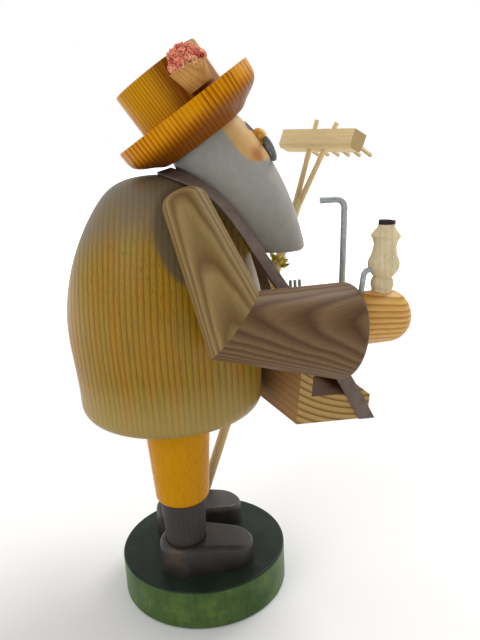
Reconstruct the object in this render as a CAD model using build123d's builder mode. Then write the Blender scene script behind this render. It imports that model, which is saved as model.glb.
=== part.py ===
from build123d import *
from math import cos, radians, sin, tan
import os

# Incense smoker: a turned wooden pedlar with a belly tray, a pipe and a hay rake.
# Millimetres. The origin is the centre of the base's underside, Z is up,
# the figure faces -Y and its right hand is on the -X side.

os.makedirs("parts", exist_ok=True)

# Base
base_diameter = 76.0
base_height = 18.4
base_edge_round = 1.0
figure_back = 9.0  # the legs and the coat stand this far behind the base's centre

# Shoes, boot shafts and trouser legs
leg_spacing = 29.0
shoe_length = 42.0
shoe_heel_radius = 12.0
shoe_toe_radius = 9.6
shoe_heel_height = 12.2
shoe_instep_height = 13.4
shoe_ball_height = 12.0
shoe_ball_offset = 16.0
shoe_toe_height = 6.4
shoe_turnout = 5.0
shoe_edge_round = 2.2
shaft_socket_depth = 2.5
shaft_socket_clearance = 0.5
shaft_height = 22.3
shaft_bottom_diameter = 17.0
shaft_top_diameter = 20.2
trouser_length = 37.0
trouser_bottom_diameter = 23.0
trouser_top_diameter = 28.0
trouser_round = 2.5
leg_dowel_diameter = 8.0
leg_dowel_in_base = 10.0
leg_dowel_in_plug = 7.0
dowel_clearance = 0.05
dowel_chamfer = 0.6

# Hip plug, which closes the coat from below, and the incense dish on it
plug_diameter = 54.0
plug_height = 10.0
plug_clearance = 0.3
plug_chamfer = 0.8
seat_clearance = 0.1
air_hole_diameter = 5.0
air_hole_offset = 19.0
dish_diameter = 32.0
dish_height = 3.0
dish_wall = 0.6
dish_corner_round = 1.2
nail_length = 9.0
nail_diameter = 1.6
nail_head_diameter = 4.0
nail_head_height = 0.8

# Coat, a hollow turned body; heights are above its hem
coat_height = 100.9
coat_hem_radius = 39.5
coat_hem_round = 7.5
coat_widest_radius = 41.4
coat_widest_height = 43.5
coat_shoulder_radius = 34.9
coat_shoulder_height = 72.0
coat_yoke_radius = 24.3
coat_yoke_height = 90.8
chamber_diameter = 46.0
chamber_height = 70.0
chamber_round = 12.0
glue_gap = 0.15

# Head and hat, turned on an axis that leans back; depths are below the brim's flat top
head_tilt = 33.5
hat_forward = 12.5
hat_rise = 25.7
crown_diameter = 38.0
crown_height = 17.3
crown_edge_round = 0.8
crown_spigot_diameter = 20.0
crown_spigot_length = 6.0
brim_radius = 31.2
brim_rim_radius = 29.6
brim_rim_depth = 8.2
brim_bowl_radius = 22.3
brim_bowl_depth = 12.8
brim_depth = 15.0
head_top_radius = 16.0
head_cheek_radius = 17.5
head_cheek_depth = 29.0
head_beard_radius = 15.4
head_beard_depth = 53.0
head_tip_radius = 10.3
head_tip_depth = 71.0
head_end_depth = 80.0
beard_cut_drop = 33.9  # the beard ends flat this far below the coat's top
beard_cut_tilt = 2.5
beard_edge_round = 2.0
mouth_depth = 38.0
mouth_diameter = 5.0
neck_diameter = 12.0
neck_length = 15.0
nose_diameter = 6.8
nose_depth = 27.6
nose_standoff = 1.0
nose_peg_diameter = 2.8
nose_peg_length = 5.0

# Spectacles of bent wire
lens_diameter = 9.4
lens_spacing = 13.4
glasses_wire = 1.2
stay_wire = 0.8
glasses_depth = 33.4
glasses_standoff = 1.0
glasses_pitch = 12.5
bridge_turn = 8.0
bridge_rise = 0.8
stay_turn = 60.0
stay_depth = 19.5
stay_standoff = 17.45
stay_across = 2.6

# Hat ornament: a half-round wooden cup with a dried blossom
cup_lift = 1.5
cup_height = 9.8
cup_rim_tilt = 10.0
cup_top_radius = 7.8
cup_bottom_radius = 5.2
cup_turn = 64.0
blossom_height = 8.2
blossom_radius = 8.6

# Arms
elbow_radius = 12.7
cuff_radius = 19.0
cuff_round = 2.5
forearm_length = 45.6
forearm_drop = 11.4
right_elbow_height = 49.4
left_elbow_height = 45.0
arm_gap = 0.6
shoulder_radius = 8.5
shoulder_round = 5.0
shoulder_standoff = 4.5
shoulder_height = 95.0
right_shoulder_turn = -75.0
right_elbow_turn = -67.0
right_forearm_turn = 10.6
left_shoulder_turn = 84.0
left_elbow_turn = 89.0
left_forearm_turn = -15.4
arm_dowel_diameter = 6.0
arm_dowel_length = 15.0
arm_dowel_share = 0.45
arm_dowel_in_arm = 7.0

# Hands
hand_radius = 10.3
hand_round = 9.0
hand_tenon = 10.0
hand_rise = 4.3
hand_drop = 2.0
right_hand_reach = 27.2
left_hand_reach = 17.0
grip_reach = 10.5

# Pipe, standing on the right hand
pipe_reach = 16.1
pipe_lean = 4.3
pipe_height = 26.8
pipe_neck_radius = 3.5
pipe_sole_radius = 3.9
pipe_bead_radius = 4.4
pipe_bead_height = 3.0
pipe_neck_height = 5.2
pipe_belly_radius = 6.1
pipe_belly_height = 10.4
pipe_waist_radius = 4.4
pipe_waist_height = 17.4
pipe_cap_radius = 5.9
pipe_cap_height = 20.9
pipe_rim_radius = 3.2
pipe_cone_height = 24.4
pipe_peg_diameter = 3.0
pipe_peg_length = 6.0
pipe_bore_diameter = 4.6
pipe_bore_depth = 9.0
pipe_wire = 2.2
pipe_stem_height = 8.6
pipe_stem_run = 8.3
pipe_stem_bend = 2.6
pipe_stem_set = 5.0
pipe_stem_slope = 2.4

# Belly tray, hung a little turned and tipped forward
tray_turn = 13.0
tray_tilt = 7.4
tray_length = 62.0
tray_near_reach = 43.0
tray_depth = 34.5
tray_drop = 0.5
tray_belly_gap = 0.3
tray_back_height = 22.6
tray_back_wall = 5.8
tray_floor = 11.6
tray_front_wall = 10.0
tray_front_height = 17.4
tray_front_edge = 10.6

# Strap of the tray
strap_width = 6.4
strap_thickness = 1.0
strap_gap = 0.1
strap_top_forward = 19.9
strap_top_up = 20.1
strap_foot_forward = 33.8
strap_nape_ahead = 2.6
strap_nape_rise = 1.6
strap_nape_lean = 0.2
strap_knee_share = 0.5
strap_knee_in = 2.0
# Places beside the middle: outwards, in front of the coat's axis, above the coat's top
strap_route = (
    (12.0, 6.0, 0.6),
    (18.0, 17.0, -4.4),
    (19.5, 28.0, -13.4),
    (19.0, 37.5, -28.0),
    (17.5, 44.5, -44.2),
)
# The way the band's flat side faces at those places and at its knee
strap_turns = (
    (-0.3, 0.2, 1),
    (-0.6, -0.2, 0.8),
    (-0.8, -0.4, 0.6),
    (-0.9, -0.4, 0.3),
    (-0.95, -0.3, 0.2),
    (-0.98, -0.2, 0.1),
)

# Wire hook and three-pronged fork carried in the tray
hook_wire = 2.7
hook_along = 12.7
hook_rise = 86.0
hook_across = 27.2
hook_lean = 2.2
hook_bend = 3.5
hook_arm = 10.3
fork_along = 25.0
fork_across = 13.4
fork_rise = 34.5
fork_prong = 1.4
fork_spread = 2.0
fork_tine_length = 16.0
fork_bend = 1.2
fork_set = 6.0

# Hay rake, held in the left hand
rake_diameter = 4.9
rake_clearance = 0.05
rake_lean_forward = 21.4
rake_lean_out = 4.5
rake_foot_gap = 0.3
rake_split_reach = 47.0
rake_bar_reach = 76.3
rake_tip_over = 9.7  # the prongs' tips stand this far above the bar's middle
rake_prong_diameter = 3.2
rake_prong_spread = 12.3
rake_prong_root = 0.8
rake_prong_shift = 1.8
rake_prong_tip_diameter = 2.3
rake_turn = 54.0
rake_bar_length = 42.6
rake_bar_slant = 7.1
rake_bar_shift = 2.0
rake_bar_height = 8.8
rake_bar_depth = 10.0
rake_bar_chamfer = 1.6
rake_tine_count = 6
rake_tine_pitch = 6.4
rake_tine_shift = 1.8
rake_tine_diameter = 1.8
rake_tine_length = 14.0
rake_tine_set = 2.4
rake_tine_droop = 4.0
rake_tine_round = 0.6

# Herb sprig on the rake handle above the left hand
herb_reach = 16.5
herb_radius = 6.0
herb_height = 7.0
herb_round = 0.4

# Heights that follow from the stack of pieces
shoe_top = base_height + shoe_instep_height
shaft_foot = shoe_top - shaft_socket_depth
trouser_foot = shaft_foot + shaft_height
hip_height = trouser_foot + trouser_length
plug_top = hip_height + plug_height
hem_height = hip_height
coat_top = hem_height + coat_height
brim_top = Vector(0, figure_back - hat_forward, coat_top + hat_rise)

# Directions and planes that pieces share
hat_axis = Vector(0, sin(radians(head_tilt)), cos(radians(head_tilt)))
face_axis = Vector(0, -cos(radians(head_tilt)), sin(radians(head_tilt)))
hat_plane = Plane(origin=brim_top, x_dir=(1, 0, 0), z_dir=hat_axis)
head_profile = Plane(origin=brim_top, x_dir=(1, 0, 0), z_dir=face_axis)
coat_profile = Plane.XZ.offset(-figure_back)
coat_axis = Axis((0, figure_back, 0), (0, 0, 1))
sides = ((-1, "right"), (1, "left"))


def leg_plane(side, height):
    """Level plane on one leg's axis, turned out with the foot."""
    turn = radians(side * shoe_turnout)
    return Plane(
        origin=(side * leg_spacing / 2, figure_back, height),
        x_dir=(cos(turn), sin(turn), 0),
        z_dir=(0, 0, 1),
    )


def around(turn, reach, height):
    """Point round the coat's axis: turn in degrees to the left of front, height above the hem."""
    angle = radians(turn)
    return Vector(reach * sin(angle), figure_back - reach * cos(angle), hem_height + height)


def heading(turn, drop):
    """Unit direction that points forward, turned towards +X and dropped by degrees."""
    yaw, pitch = radians(turn), radians(drop)
    return Vector(sin(yaw) * cos(pitch), -cos(yaw) * cos(pitch), -sin(pitch))


def on_head(depth, standoff, across):
    """Point in front of the head's axis: depth below the brim's top, standoff along the face."""
    return brim_top - hat_axis * depth + face_axis * standoff + Vector(across, 0, 0)


# Base disc
with BuildPart() as base_disc:
    Cylinder(base_diameter / 2, base_height, align=(Align.CENTER, Align.CENTER, Align.MIN))
    fillet(base_disc.edges().filter_by(GeomType.CIRCLE), base_edge_round)
    with Locations(*[leg_plane(side, base_height).location for side, word in sides]):
        Hole(leg_dowel_diameter / 2 + dowel_clearance, leg_dowel_in_base)
base_disc.part.label = "base_disc"
export_step(base_disc.part, "parts/base_disc.step")

# Shoes, boot shafts, trouser legs and the dowels that run through them
for side, word in sides:
    foot = leg_plane(side, base_height)
    toe_offset = shoe_length - shoe_heel_radius - shoe_toe_radius
    with BuildPart(foot) as shoe:
        with BuildSketch(foot):
            Circle(shoe_heel_radius)
            with Locations((0, -toe_offset)):
                Circle(shoe_toe_radius)
            make_hull()
        extrude(amount=shoe_instep_height)
        with BuildSketch(Plane(origin=foot.origin, x_dir=foot.y_dir, z_dir=foot.x_dir)):
            with BuildLine():
                upper = Spline(
                    (shoe_heel_radius + shoe_edge_round, shoe_heel_height),
                    (0, shoe_instep_height),
                    (-shoe_ball_offset, shoe_ball_height),
                    (-shoe_length, shoe_toe_height),
                )
                Polyline(upper @ 1, (-shoe_length, 0), (shoe_heel_radius + shoe_edge_round, 0), upper @ 0)
            make_face()
        extrude(amount=shoe_length, both=True, mode=Mode.INTERSECT)
        fillet(shoe.faces().sort_by(Axis.Z)[-1].edges(), shoe_edge_round)
        with Locations((0, 0, shaft_foot - base_height)):
            Cylinder(
                shaft_bottom_diameter / 2 + shaft_socket_clearance,
                shoe_heel_height,
                align=(Align.CENTER, Align.CENTER, Align.MIN),
                mode=Mode.SUBTRACT,
            )
        Hole(leg_dowel_diameter / 2 + dowel_clearance)
    shoe.part.label = f"{word}_shoe"
    export_step(shoe.part, f"parts/{word}_shoe.step")

    with BuildPart(leg_plane(side, shaft_foot)) as boot_shaft:
        Cone(
            shaft_bottom_diameter / 2,
            shaft_top_diameter / 2,
            shaft_height,
            align=(Align.CENTER, Align.CENTER, Align.MIN),
        )
        Hole(leg_dowel_diameter / 2 + dowel_clearance)
    boot_shaft.part.label = f"{word}_boot_shaft"
    export_step(boot_shaft.part, f"parts/{word}_boot_shaft.step")

    with BuildPart(leg_plane(side, trouser_foot)) as trouser_leg:
        Cone(
            trouser_bottom_diameter / 2,
            trouser_top_diameter / 2,
            trouser_length,
            align=(Align.CENTER, Align.CENTER, Align.MIN),
        )
        fillet(trouser_leg.edges().group_by(Axis.Z)[0], trouser_round)
        Hole(leg_dowel_diameter / 2 + dowel_clearance)
    trouser_leg.part.label = f"{word}_trouser_leg"
    export_step(trouser_leg.part, f"parts/{word}_trouser_leg.step")

    dowel_foot = base_height - leg_dowel_in_base
    with BuildPart(leg_plane(side, dowel_foot)) as leg_dowel:
        Cylinder(
            leg_dowel_diameter / 2,
            hip_height + leg_dowel_in_plug - dowel_foot,
            align=(Align.CENTER, Align.CENTER, Align.MIN),
        )
        chamfer(leg_dowel.edges().filter_by(GeomType.CIRCLE), dowel_chamfer)
    leg_dowel.part.label = f"{word}_leg_dowel"
    export_step(leg_dowel.part, f"parts/{word}_leg_dowel.step")

# Hip plug with its air holes
with BuildPart(Plane((0, figure_back, hip_height))) as hip_plug:
    Cylinder(plug_diameter / 2, plug_height, align=(Align.CENTER, Align.CENTER, Align.MIN))
    chamfer(hip_plug.edges().group_by(Axis.Z)[-1], plug_chamfer)
    with Locations(*[(side * leg_spacing / 2, 0, leg_dowel_in_plug) for side, word in sides]):
        Hole(leg_dowel_diameter / 2 + dowel_clearance, plug_height)
    with Locations((0, -air_hole_offset, plug_height), (0, air_hole_offset, plug_height)):
        Hole(air_hole_diameter / 2)
    with Locations((0, 0, plug_height)):
        Hole(nail_diameter / 2, nail_length)
hip_plug.part.label = "hip_plug"
export_step(hip_plug.part, "parts/hip_plug.step")

# Pressed tin dish for the incense cone and the nail that holds it
with BuildPart(Plane((0, figure_back, plug_top))) as incense_dish:
    Cylinder(dish_diameter / 2, dish_height, align=(Align.CENTER, Align.CENTER, Align.MIN))
    fillet(incense_dish.edges().group_by(Axis.Z)[0], dish_corner_round)
    offset(amount=-dish_wall, openings=incense_dish.faces().sort_by(Axis.Z)[-1])
    Hole(nail_diameter / 2)
incense_dish.part.label = "incense_dish"
export_step(incense_dish.part, "parts/incense_dish.step")

with BuildPart(Plane((0, figure_back, plug_top + dish_wall))) as dish_nail:
    Cylinder(nail_head_diameter / 2, nail_head_height, align=(Align.CENTER, Align.CENTER, Align.MIN))
    fillet(dish_nail.edges().group_by(Axis.Z)[-1], nail_head_height / 2)
    Cylinder(nail_diameter / 2, nail_length, align=(Align.CENTER, Align.CENTER, Align.MAX))
dish_nail.part.label = "dish_nail"
export_step(dish_nail.part, "parts/dish_nail.step")


def coat_form(growth):
    """Outer form of the coat, grown by a clearance, for the coat and for what is coped to it."""
    hem = hem_height - growth
    with BuildPart() as form:
        with BuildSketch(coat_profile):
            with BuildLine():
                hem_line = Line((0, hem), (coat_hem_radius - coat_hem_round + growth, hem))
                hem_arc = TangentArc(
                    hem_line @ 1,
                    (coat_hem_radius + growth, hem + coat_hem_round),
                    tangent=(1, 0),
                )
                flank = Spline(
                    hem_arc @ 1,
                    (coat_widest_radius + growth, hem_height + coat_widest_height),
                    (coat_shoulder_radius + growth, hem_height + coat_shoulder_height),
                    (coat_yoke_radius + growth, hem_height + coat_yoke_height),
                    (0, coat_top + growth),
                    tangents=((0, 1), (-1, 0)),
                )
                Line(flank @ 1, hem_line @ 0)
            make_face()
        revolve(axis=coat_axis)
    return form.part


# Shoulder, elbow and cuff points of both arms
right_shoulder = around(right_shoulder_turn, coat_yoke_radius + shoulder_standoff, shoulder_height)
left_shoulder = around(left_shoulder_turn, coat_yoke_radius + shoulder_standoff, shoulder_height)
elbow_reach = coat_widest_radius + elbow_radius + arm_gap
right_elbow = around(right_elbow_turn, elbow_reach, right_elbow_height)
left_elbow = around(left_elbow_turn, elbow_reach, left_elbow_height)
arms = (
    ("right", right_shoulder, right_elbow, heading(right_forearm_turn, forearm_drop)),
    ("left", left_shoulder, left_elbow, heading(left_forearm_turn, forearm_drop)),
)


def arm_dowel_plane(shoulder, elbow):
    """Plane on an arm's dowel: it starts in the arm and points at the coat's axis."""
    middle = shoulder + (elbow - shoulder) * arm_dowel_share
    inward = Vector(-middle.X, figure_back - middle.Y, 0).normalized()
    return Plane(origin=middle - inward * (arm_dowel_in_arm - arm_dowel_length / 2), z_dir=inward)


# Coat with its chamber, plug seat, neck socket, smoke channel and dowel holes
mouth_axis_point = on_head(mouth_depth, 0, 0)
channel_plane = Plane(origin=mouth_axis_point, x_dir=(1, 0, 0), z_dir=-face_axis)
neck_start = head_cheek_radius / 2
with BuildPart() as coat:
    add(coat_form(0))
    with Locations((0, figure_back, hem_height)):
        Cylinder(
            plug_diameter / 2 + plug_clearance,
            plug_height + seat_clearance,
            align=(Align.CENTER, Align.CENTER, Align.MIN),
            mode=Mode.SUBTRACT,
        )
        Cylinder(
            chamber_diameter / 2,
            chamber_height,
            align=(Align.CENTER, Align.CENTER, Align.MIN),
            mode=Mode.SUBTRACT,
        )
    chamber_edge = coat.edges().filter_by(GeomType.CIRCLE).filter_by_position(
        Axis.Z, hem_height + chamber_height - glue_gap, hem_height + chamber_height + glue_gap
    )
    fillet(chamber_edge, chamber_round)
    with BuildSketch(channel_plane.offset(neck_start)):
        Circle(neck_diameter / 2 + dowel_clearance)
    extrude(amount=neck_length + dowel_clearance, mode=Mode.SUBTRACT)
    with BuildSketch(channel_plane.offset(neck_start)):
        Circle(mouth_diameter / 2)
    extrude(amount=neck_length * 3, mode=Mode.SUBTRACT)
    for word, shoulder, elbow, forward in arms:
        with BuildSketch(arm_dowel_plane(shoulder, elbow)):
            Circle(arm_dowel_diameter / 2 + dowel_clearance)
        extrude(amount=arm_dowel_length / 2 + dowel_clearance, both=True, mode=Mode.SUBTRACT)
coat.part.label = "coat"
export_step(coat.part, "parts/coat.step")


def head_form():
    """Turned egg of the head and beard, before it is trimmed."""
    with BuildPart() as form:
        with BuildSketch(head_profile):
            with BuildLine():
                top = Line((0, -brim_depth), (head_top_radius, -brim_depth))
                cheek = Spline(
                    top @ 1,
                    (head_cheek_radius, -head_cheek_depth),
                    (head_beard_radius, -head_beard_depth),
                    (head_tip_radius, -head_tip_depth),
                    (0, -head_end_depth),
                    tangents=((0.25, -1), (-1, 0)),
                )
                Line(cheek @ 1, top @ 0)
            make_face()
        revolve(axis=Axis(brim_top, hat_axis))
    return form.part


# Head with its beard, mouth, smoke channel and neck spigot
nose_centre = on_head(nose_depth, head_cheek_radius + nose_standoff, 0)
beard_front = Location((0, figure_back - coat_hem_radius, coat_top - beard_cut_drop), (beard_cut_tilt, 0, 0))
beard_cut = Plane(beard_front)
nose_plane = Plane(origin=nose_centre, x_dir=(1, 0, 0), z_dir=-face_axis)
with BuildPart() as head:
    add(head_form())
    split(bisect_by=beard_cut, keep=Keep.TOP)
    fillet(head.faces().sort_by(Axis.Z)[0].edges(), beard_edge_round)
    add(coat_form(glue_gap), mode=Mode.SUBTRACT)
    with BuildSketch(channel_plane.offset(neck_start)):
        Circle(neck_diameter / 2)
    extrude(amount=neck_length)
    with BuildSketch(channel_plane):
        Circle(mouth_diameter / 2)
    extrude(amount=head_cheek_radius * 3, both=True, mode=Mode.SUBTRACT)
    with BuildSketch(nose_plane):
        Circle(nose_peg_diameter / 2 + dowel_clearance)
    extrude(amount=nose_peg_length + dowel_clearance, both=True, mode=Mode.SUBTRACT)
head.part.label = "head"
export_step(head.part, "parts/head.step")

# Bead nose on its peg
with BuildPart() as nose:
    with Locations(nose_centre):
        Sphere(nose_diameter / 2)
    add(head_form(), mode=Mode.SUBTRACT)
    with BuildSketch(nose_plane):
        Circle(nose_peg_diameter / 2)
    extrude(amount=nose_peg_length)
nose.part.label = "nose"
export_step(nose.part, "parts/nose.step")

# Hat brim, flat on top and bowl-shaped below
with BuildPart() as hat_brim:
    with BuildSketch(head_profile):
        with BuildLine():
            flat = Line((0, 0), (brim_radius, 0))
            bowl = Spline(
                flat @ 1,
                (brim_rim_radius, -brim_rim_depth),
                (brim_bowl_radius, -brim_bowl_depth),
                (head_top_radius, -brim_depth),
                tangents=((0, -1), (-1, 0)),
            )
            under = Line(bowl @ 1, (0, -brim_depth))
            Line(under @ 1, flat @ 0)
        make_face()
    revolve(axis=Axis(brim_top, hat_axis))
    with BuildSketch(hat_plane):
        Circle(crown_spigot_diameter / 2 + dowel_clearance)
    extrude(amount=-(crown_spigot_length + glue_gap), mode=Mode.SUBTRACT)
hat_brim.part.label = "hat_brim"
export_step(hat_brim.part, "parts/hat_brim.step")

# Hat crown on its spigot
with BuildPart() as hat_crown:
    with BuildSketch(hat_plane):
        Circle(crown_diameter / 2)
    extrude(amount=crown_height)
    crown_edges = hat_crown.edges().filter_by(GeomType.CIRCLE)
    fillet(crown_edges.sort_by(Axis(brim_top, hat_axis))[-1], crown_edge_round)
    with BuildSketch(hat_plane):
        Circle(crown_spigot_diameter / 2)
    extrude(amount=-crown_spigot_length)
hat_crown.part.label = "hat_crown"
export_step(hat_crown.part, "parts/hat_crown.step")

# Half-round cup on the crown's side and the blossom in it
cup_angle = radians(-90 - cup_turn)
cup_place = Location((crown_diameter / 2 * cos(cup_angle), crown_diameter / 2 * sin(cup_angle), 0))
cup_plane = Plane(hat_plane.location * cup_place)
cup_side = (cup_plane.origin - brim_top).normalized().cross(hat_axis)
rim_way = hat_axis * cos(radians(cup_rim_tilt)) - cup_side * sin(radians(cup_rim_tilt))
rim_centre = cup_plane.origin + hat_axis * cup_height
rim_plane = Plane(origin=rim_centre, x_dir=rim_way.cross(cup_side), z_dir=rim_way)
with BuildPart(cup_plane.offset(cup_lift)) as hat_cup:
    Cone(cup_bottom_radius, cup_top_radius, cup_height, align=(Align.CENTER, Align.CENTER, Align.MIN))
    split(bisect_by=rim_plane, keep=Keep.BOTTOM)
    with BuildSketch(hat_plane):
        Circle(crown_diameter / 2 + glue_gap)
    extrude(amount=crown_height, mode=Mode.SUBTRACT)
hat_cup.part.label = "hat_cup"
export_step(hat_cup.part, "parts/hat_cup.step")

with BuildPart(rim_plane) as hat_blossom:
    Sphere(blossom_radius, arc_size1=0, align=(Align.CENTER, Align.CENTER, Align.MIN))
    split(bisect_by=rim_plane.offset(blossom_height), keep=Keep.BOTTOM)
    with BuildSketch(hat_plane):
        Circle(crown_diameter / 2 + glue_gap)
    extrude(amount=crown_height * 2, mode=Mode.SUBTRACT)
hat_blossom.part.label = "hat_blossom"
export_step(hat_blossom.part, "parts/hat_blossom.step")

# Spectacles: two wire rings, a bridge under the nose and two stays that rise beside it to the forehead
lens_tilt = radians(head_tilt - glasses_pitch)
lens_normal = Vector(0, -cos(lens_tilt), sin(lens_tilt))
lens_up = Vector(0, sin(lens_tilt), cos(lens_tilt))
lens_middle = on_head(glasses_depth, head_cheek_radius + glasses_standoff, 0)
bridge_half = lens_spacing / 2 - lens_diameter / 2 * cos(radians(bridge_turn))
bridge_foot = lens_middle + lens_up * (lens_diameter / 2 * sin(radians(bridge_turn)))
with BuildPart() as glasses:
    for side, word in sides:
        lens = lens_middle + Vector(side * lens_spacing / 2, 0, 0)
        with Locations(Plane(origin=lens, x_dir=-lens_up, z_dir=lens_normal).location):
            Torus(lens_diameter / 2, glasses_wire / 2)
        stay_foot = lens - Vector(side * lens_diameter / 2 * cos(radians(stay_turn)), 0, 0)
        stay_foot += lens_up * (lens_diameter / 2 * sin(radians(stay_turn)))
        stay_end = on_head(stay_depth, stay_standoff, side * stay_across)
        with BuildSketch(Plane(origin=stay_foot, z_dir=stay_end - stay_foot)):
            Circle(stay_wire / 2)
        extrude(amount=(stay_end - stay_foot).length)
    with BuildLine(Plane(origin=bridge_foot, x_dir=(1, 0, 0), z_dir=lens_normal)):
        bridge = ThreePointArc((-bridge_half, 0), (0, bridge_rise), (bridge_half, 0))
    with BuildSketch(Plane(origin=bridge @ 0, z_dir=bridge % 0)):
        Circle(stay_wire / 2)
    sweep(path=bridge)
glasses.part.label = "glasses"
export_step(glasses.part, "parts/glasses.step")

# Belly tray: a block with a trough, a high back wall and a bevelled front wall
turn, tilt = radians(tray_turn), radians(tray_tilt)
tray_along = Vector(cos(turn), sin(turn), 0)
tray_ahead = Vector(sin(turn), -cos(turn), 0)
tray_forward = tray_ahead * cos(tilt) - Vector(0, 0, 1) * sin(tilt)
tray_up = Vector(0, 0, 1) * cos(tilt) + tray_ahead * sin(tilt)
belly_reach = coat_hem_radius - coat_hem_round * sin(tilt) + tray_belly_gap
tray_touch = Vector(0, figure_back, hem_height - tray_drop) + tray_ahead * belly_reach
tray_near = tray_touch - tray_along * tray_near_reach
tray_far = tray_near + tray_along * tray_length


def on_tray(along, forward, up):
    """Point in the tray's own directions, from its near back bottom corner."""
    return tray_near + tray_along * along + tray_forward * forward + tray_up * up


tray_inner_front = tray_depth - tray_front_wall
hook_foot = on_tray(hook_along, hook_across, tray_floor / 2)
hook_way = heading(0, hook_lean - 90)
fork_foot = on_tray(fork_along, fork_across, tray_floor - fork_set)
with BuildPart() as tray:
    with BuildSketch(Plane(origin=tray_far, x_dir=tray_forward, z_dir=-tray_along)):
        with BuildLine():
            Polyline(
                (0, 0),
                (0, tray_back_height),
                (tray_back_wall, tray_back_height),
                (tray_back_wall, tray_floor),
                (tray_inner_front, tray_floor),
                (tray_inner_front, tray_front_height),
                (tray_depth, tray_front_edge),
                (tray_depth, 0),
                close=True,
            )
        make_face()
    extrude(amount=tray_length)
    with BuildSketch(Plane(origin=hook_foot, z_dir=hook_way)):
        Circle(hook_wire / 2 + dowel_clearance)
    extrude(amount=tray_front_height, mode=Mode.SUBTRACT)
    with BuildSketch(Plane(origin=fork_foot)):
        Circle(fork_prong / 2 + dowel_clearance)
    extrude(amount=tray_floor, mode=Mode.SUBTRACT)
tray.part.label = "tray"
export_step(tray.part, "parts/tray.step")

# Wire hook that stands in the tray's front wall
with BuildPart() as wire_hook:
    with BuildLine() as hook_path:
        FilletPolyline(
            hook_foot,
            hook_foot + hook_way * hook_rise,
            hook_foot + hook_way * hook_rise + Vector(0, hook_arm, 0),
            radius=hook_bend,
        )
    with BuildSketch(Plane(origin=hook_foot, z_dir=hook_way)):
        Circle(hook_wire / 2)
    sweep(path=hook_path.line)
wire_hook.part.label = "wire_hook"
export_step(wire_hook.part, "parts/wire_hook.step")

# Three-pronged wire fork that stands in the tray's trough
fork_head = fork_foot + Vector(0, 0, fork_rise)
with BuildPart() as wire_fork:
    with BuildLine() as fork_path:
        Line(fork_foot, fork_head + Vector(0, 0, fork_tine_length))
    with BuildSketch(Plane(origin=fork_foot)):
        Circle(fork_prong / 2)
    sweep(path=fork_path.line)
    with BuildLine() as prong_path:
        FilletPolyline(
            fork_head + Vector(0, -fork_spread, fork_tine_length),
            fork_head + Vector(0, -fork_spread, 0),
            fork_head + Vector(0, fork_spread, 0),
            fork_head + Vector(0, fork_spread, fork_tine_length),
            radius=fork_bend,
        )
    with BuildSketch(Plane(origin=prong_path.line @ 0, z_dir=prong_path.line % 0)):
        Circle(fork_prong / 2)
    sweep(path=prong_path.line)
wire_fork.part.label = "wire_fork"
export_step(wire_fork.part, "parts/wire_fork.step")

# Hay rake: directions of the handle, of the bar along its length and of the tines
right_forward = heading(right_forearm_turn, forearm_drop)
left_forward = heading(left_forearm_turn, forearm_drop)
right_cuff = right_elbow + right_forward * forearm_length
left_cuff = left_elbow + left_forward * forearm_length
right_palm = heading(right_forearm_turn, hand_drop)
left_palm = heading(left_forearm_turn, hand_drop)
right_wrist = right_cuff + Vector(0, 0, hand_rise)
left_wrist = left_cuff + Vector(0, 0, hand_rise)
grip = left_wrist + left_palm * grip_reach
rake_axis = Vector(tan(radians(rake_lean_out)), -tan(radians(rake_lean_forward)), 1).normalized()
rake_ahead = (Vector(0, -1, 0) + rake_axis * rake_axis.Y).normalized()
rake_across = rake_axis.cross(rake_ahead)
swing = radians(rake_turn)
bar_axis = rake_ahead * cos(swing) - rake_across * sin(swing)
bar_front = rake_ahead * sin(swing) + rake_across * cos(swing)
droop = radians(rake_tine_droop)
tine_axis = bar_front * cos(droop) - rake_axis * sin(droop)
bar_slant = bar_axis * cos(radians(rake_bar_slant)) + rake_axis * sin(radians(rake_bar_slant))
rake_foot = grip - rake_axis * ((grip.Z - base_height) / rake_axis.Z + rake_diameter)
rake_split = grip + rake_axis * rake_split_reach
bar_centre = grip + rake_axis * rake_bar_reach + bar_axis * rake_bar_shift


def rake_form(growth):
    """Rake handle with its split upper end, grown by a clearance for the holes it passes."""
    with BuildPart() as form:
        with BuildSketch(Plane(origin=rake_foot, z_dir=rake_axis)):
            Circle(rake_diameter / 2 + growth)
        extrude(amount=(rake_split - rake_foot).length)
        for side, word in sides:
            root = rake_split - rake_axis * rake_diameter + bar_axis * (side * rake_prong_root)
            tip = grip + rake_axis * (rake_bar_reach + rake_tip_over)
            tip += bar_axis * (side * rake_prong_spread / 2 + rake_prong_shift)
            with BuildSketch(Plane(origin=root, z_dir=tip - root)):
                Circle(rake_prong_diameter / 2 + growth)
            with BuildSketch(Plane(origin=tip, z_dir=tip - root)):
                Circle(rake_prong_tip_diameter / 2 + growth)
            loft()
        split(bisect_by=Plane.XY.offset(base_height + rake_foot_gap), keep=Keep.TOP)
    return form.part


with BuildPart() as rake_handle:
    add(rake_form(0))
rake_handle.part.label = "rake_handle"
export_step(rake_handle.part, "parts/rake_handle.step")

tine_span = (rake_tine_count - 1) * rake_tine_pitch
tine_roots = []
for index in range(rake_tine_count):
    place = bar_centre + bar_slant * (index * rake_tine_pitch - tine_span / 2 + rake_tine_shift)
    tine_roots.append(place + bar_front * (rake_bar_depth / 2 - rake_tine_set))

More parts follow.
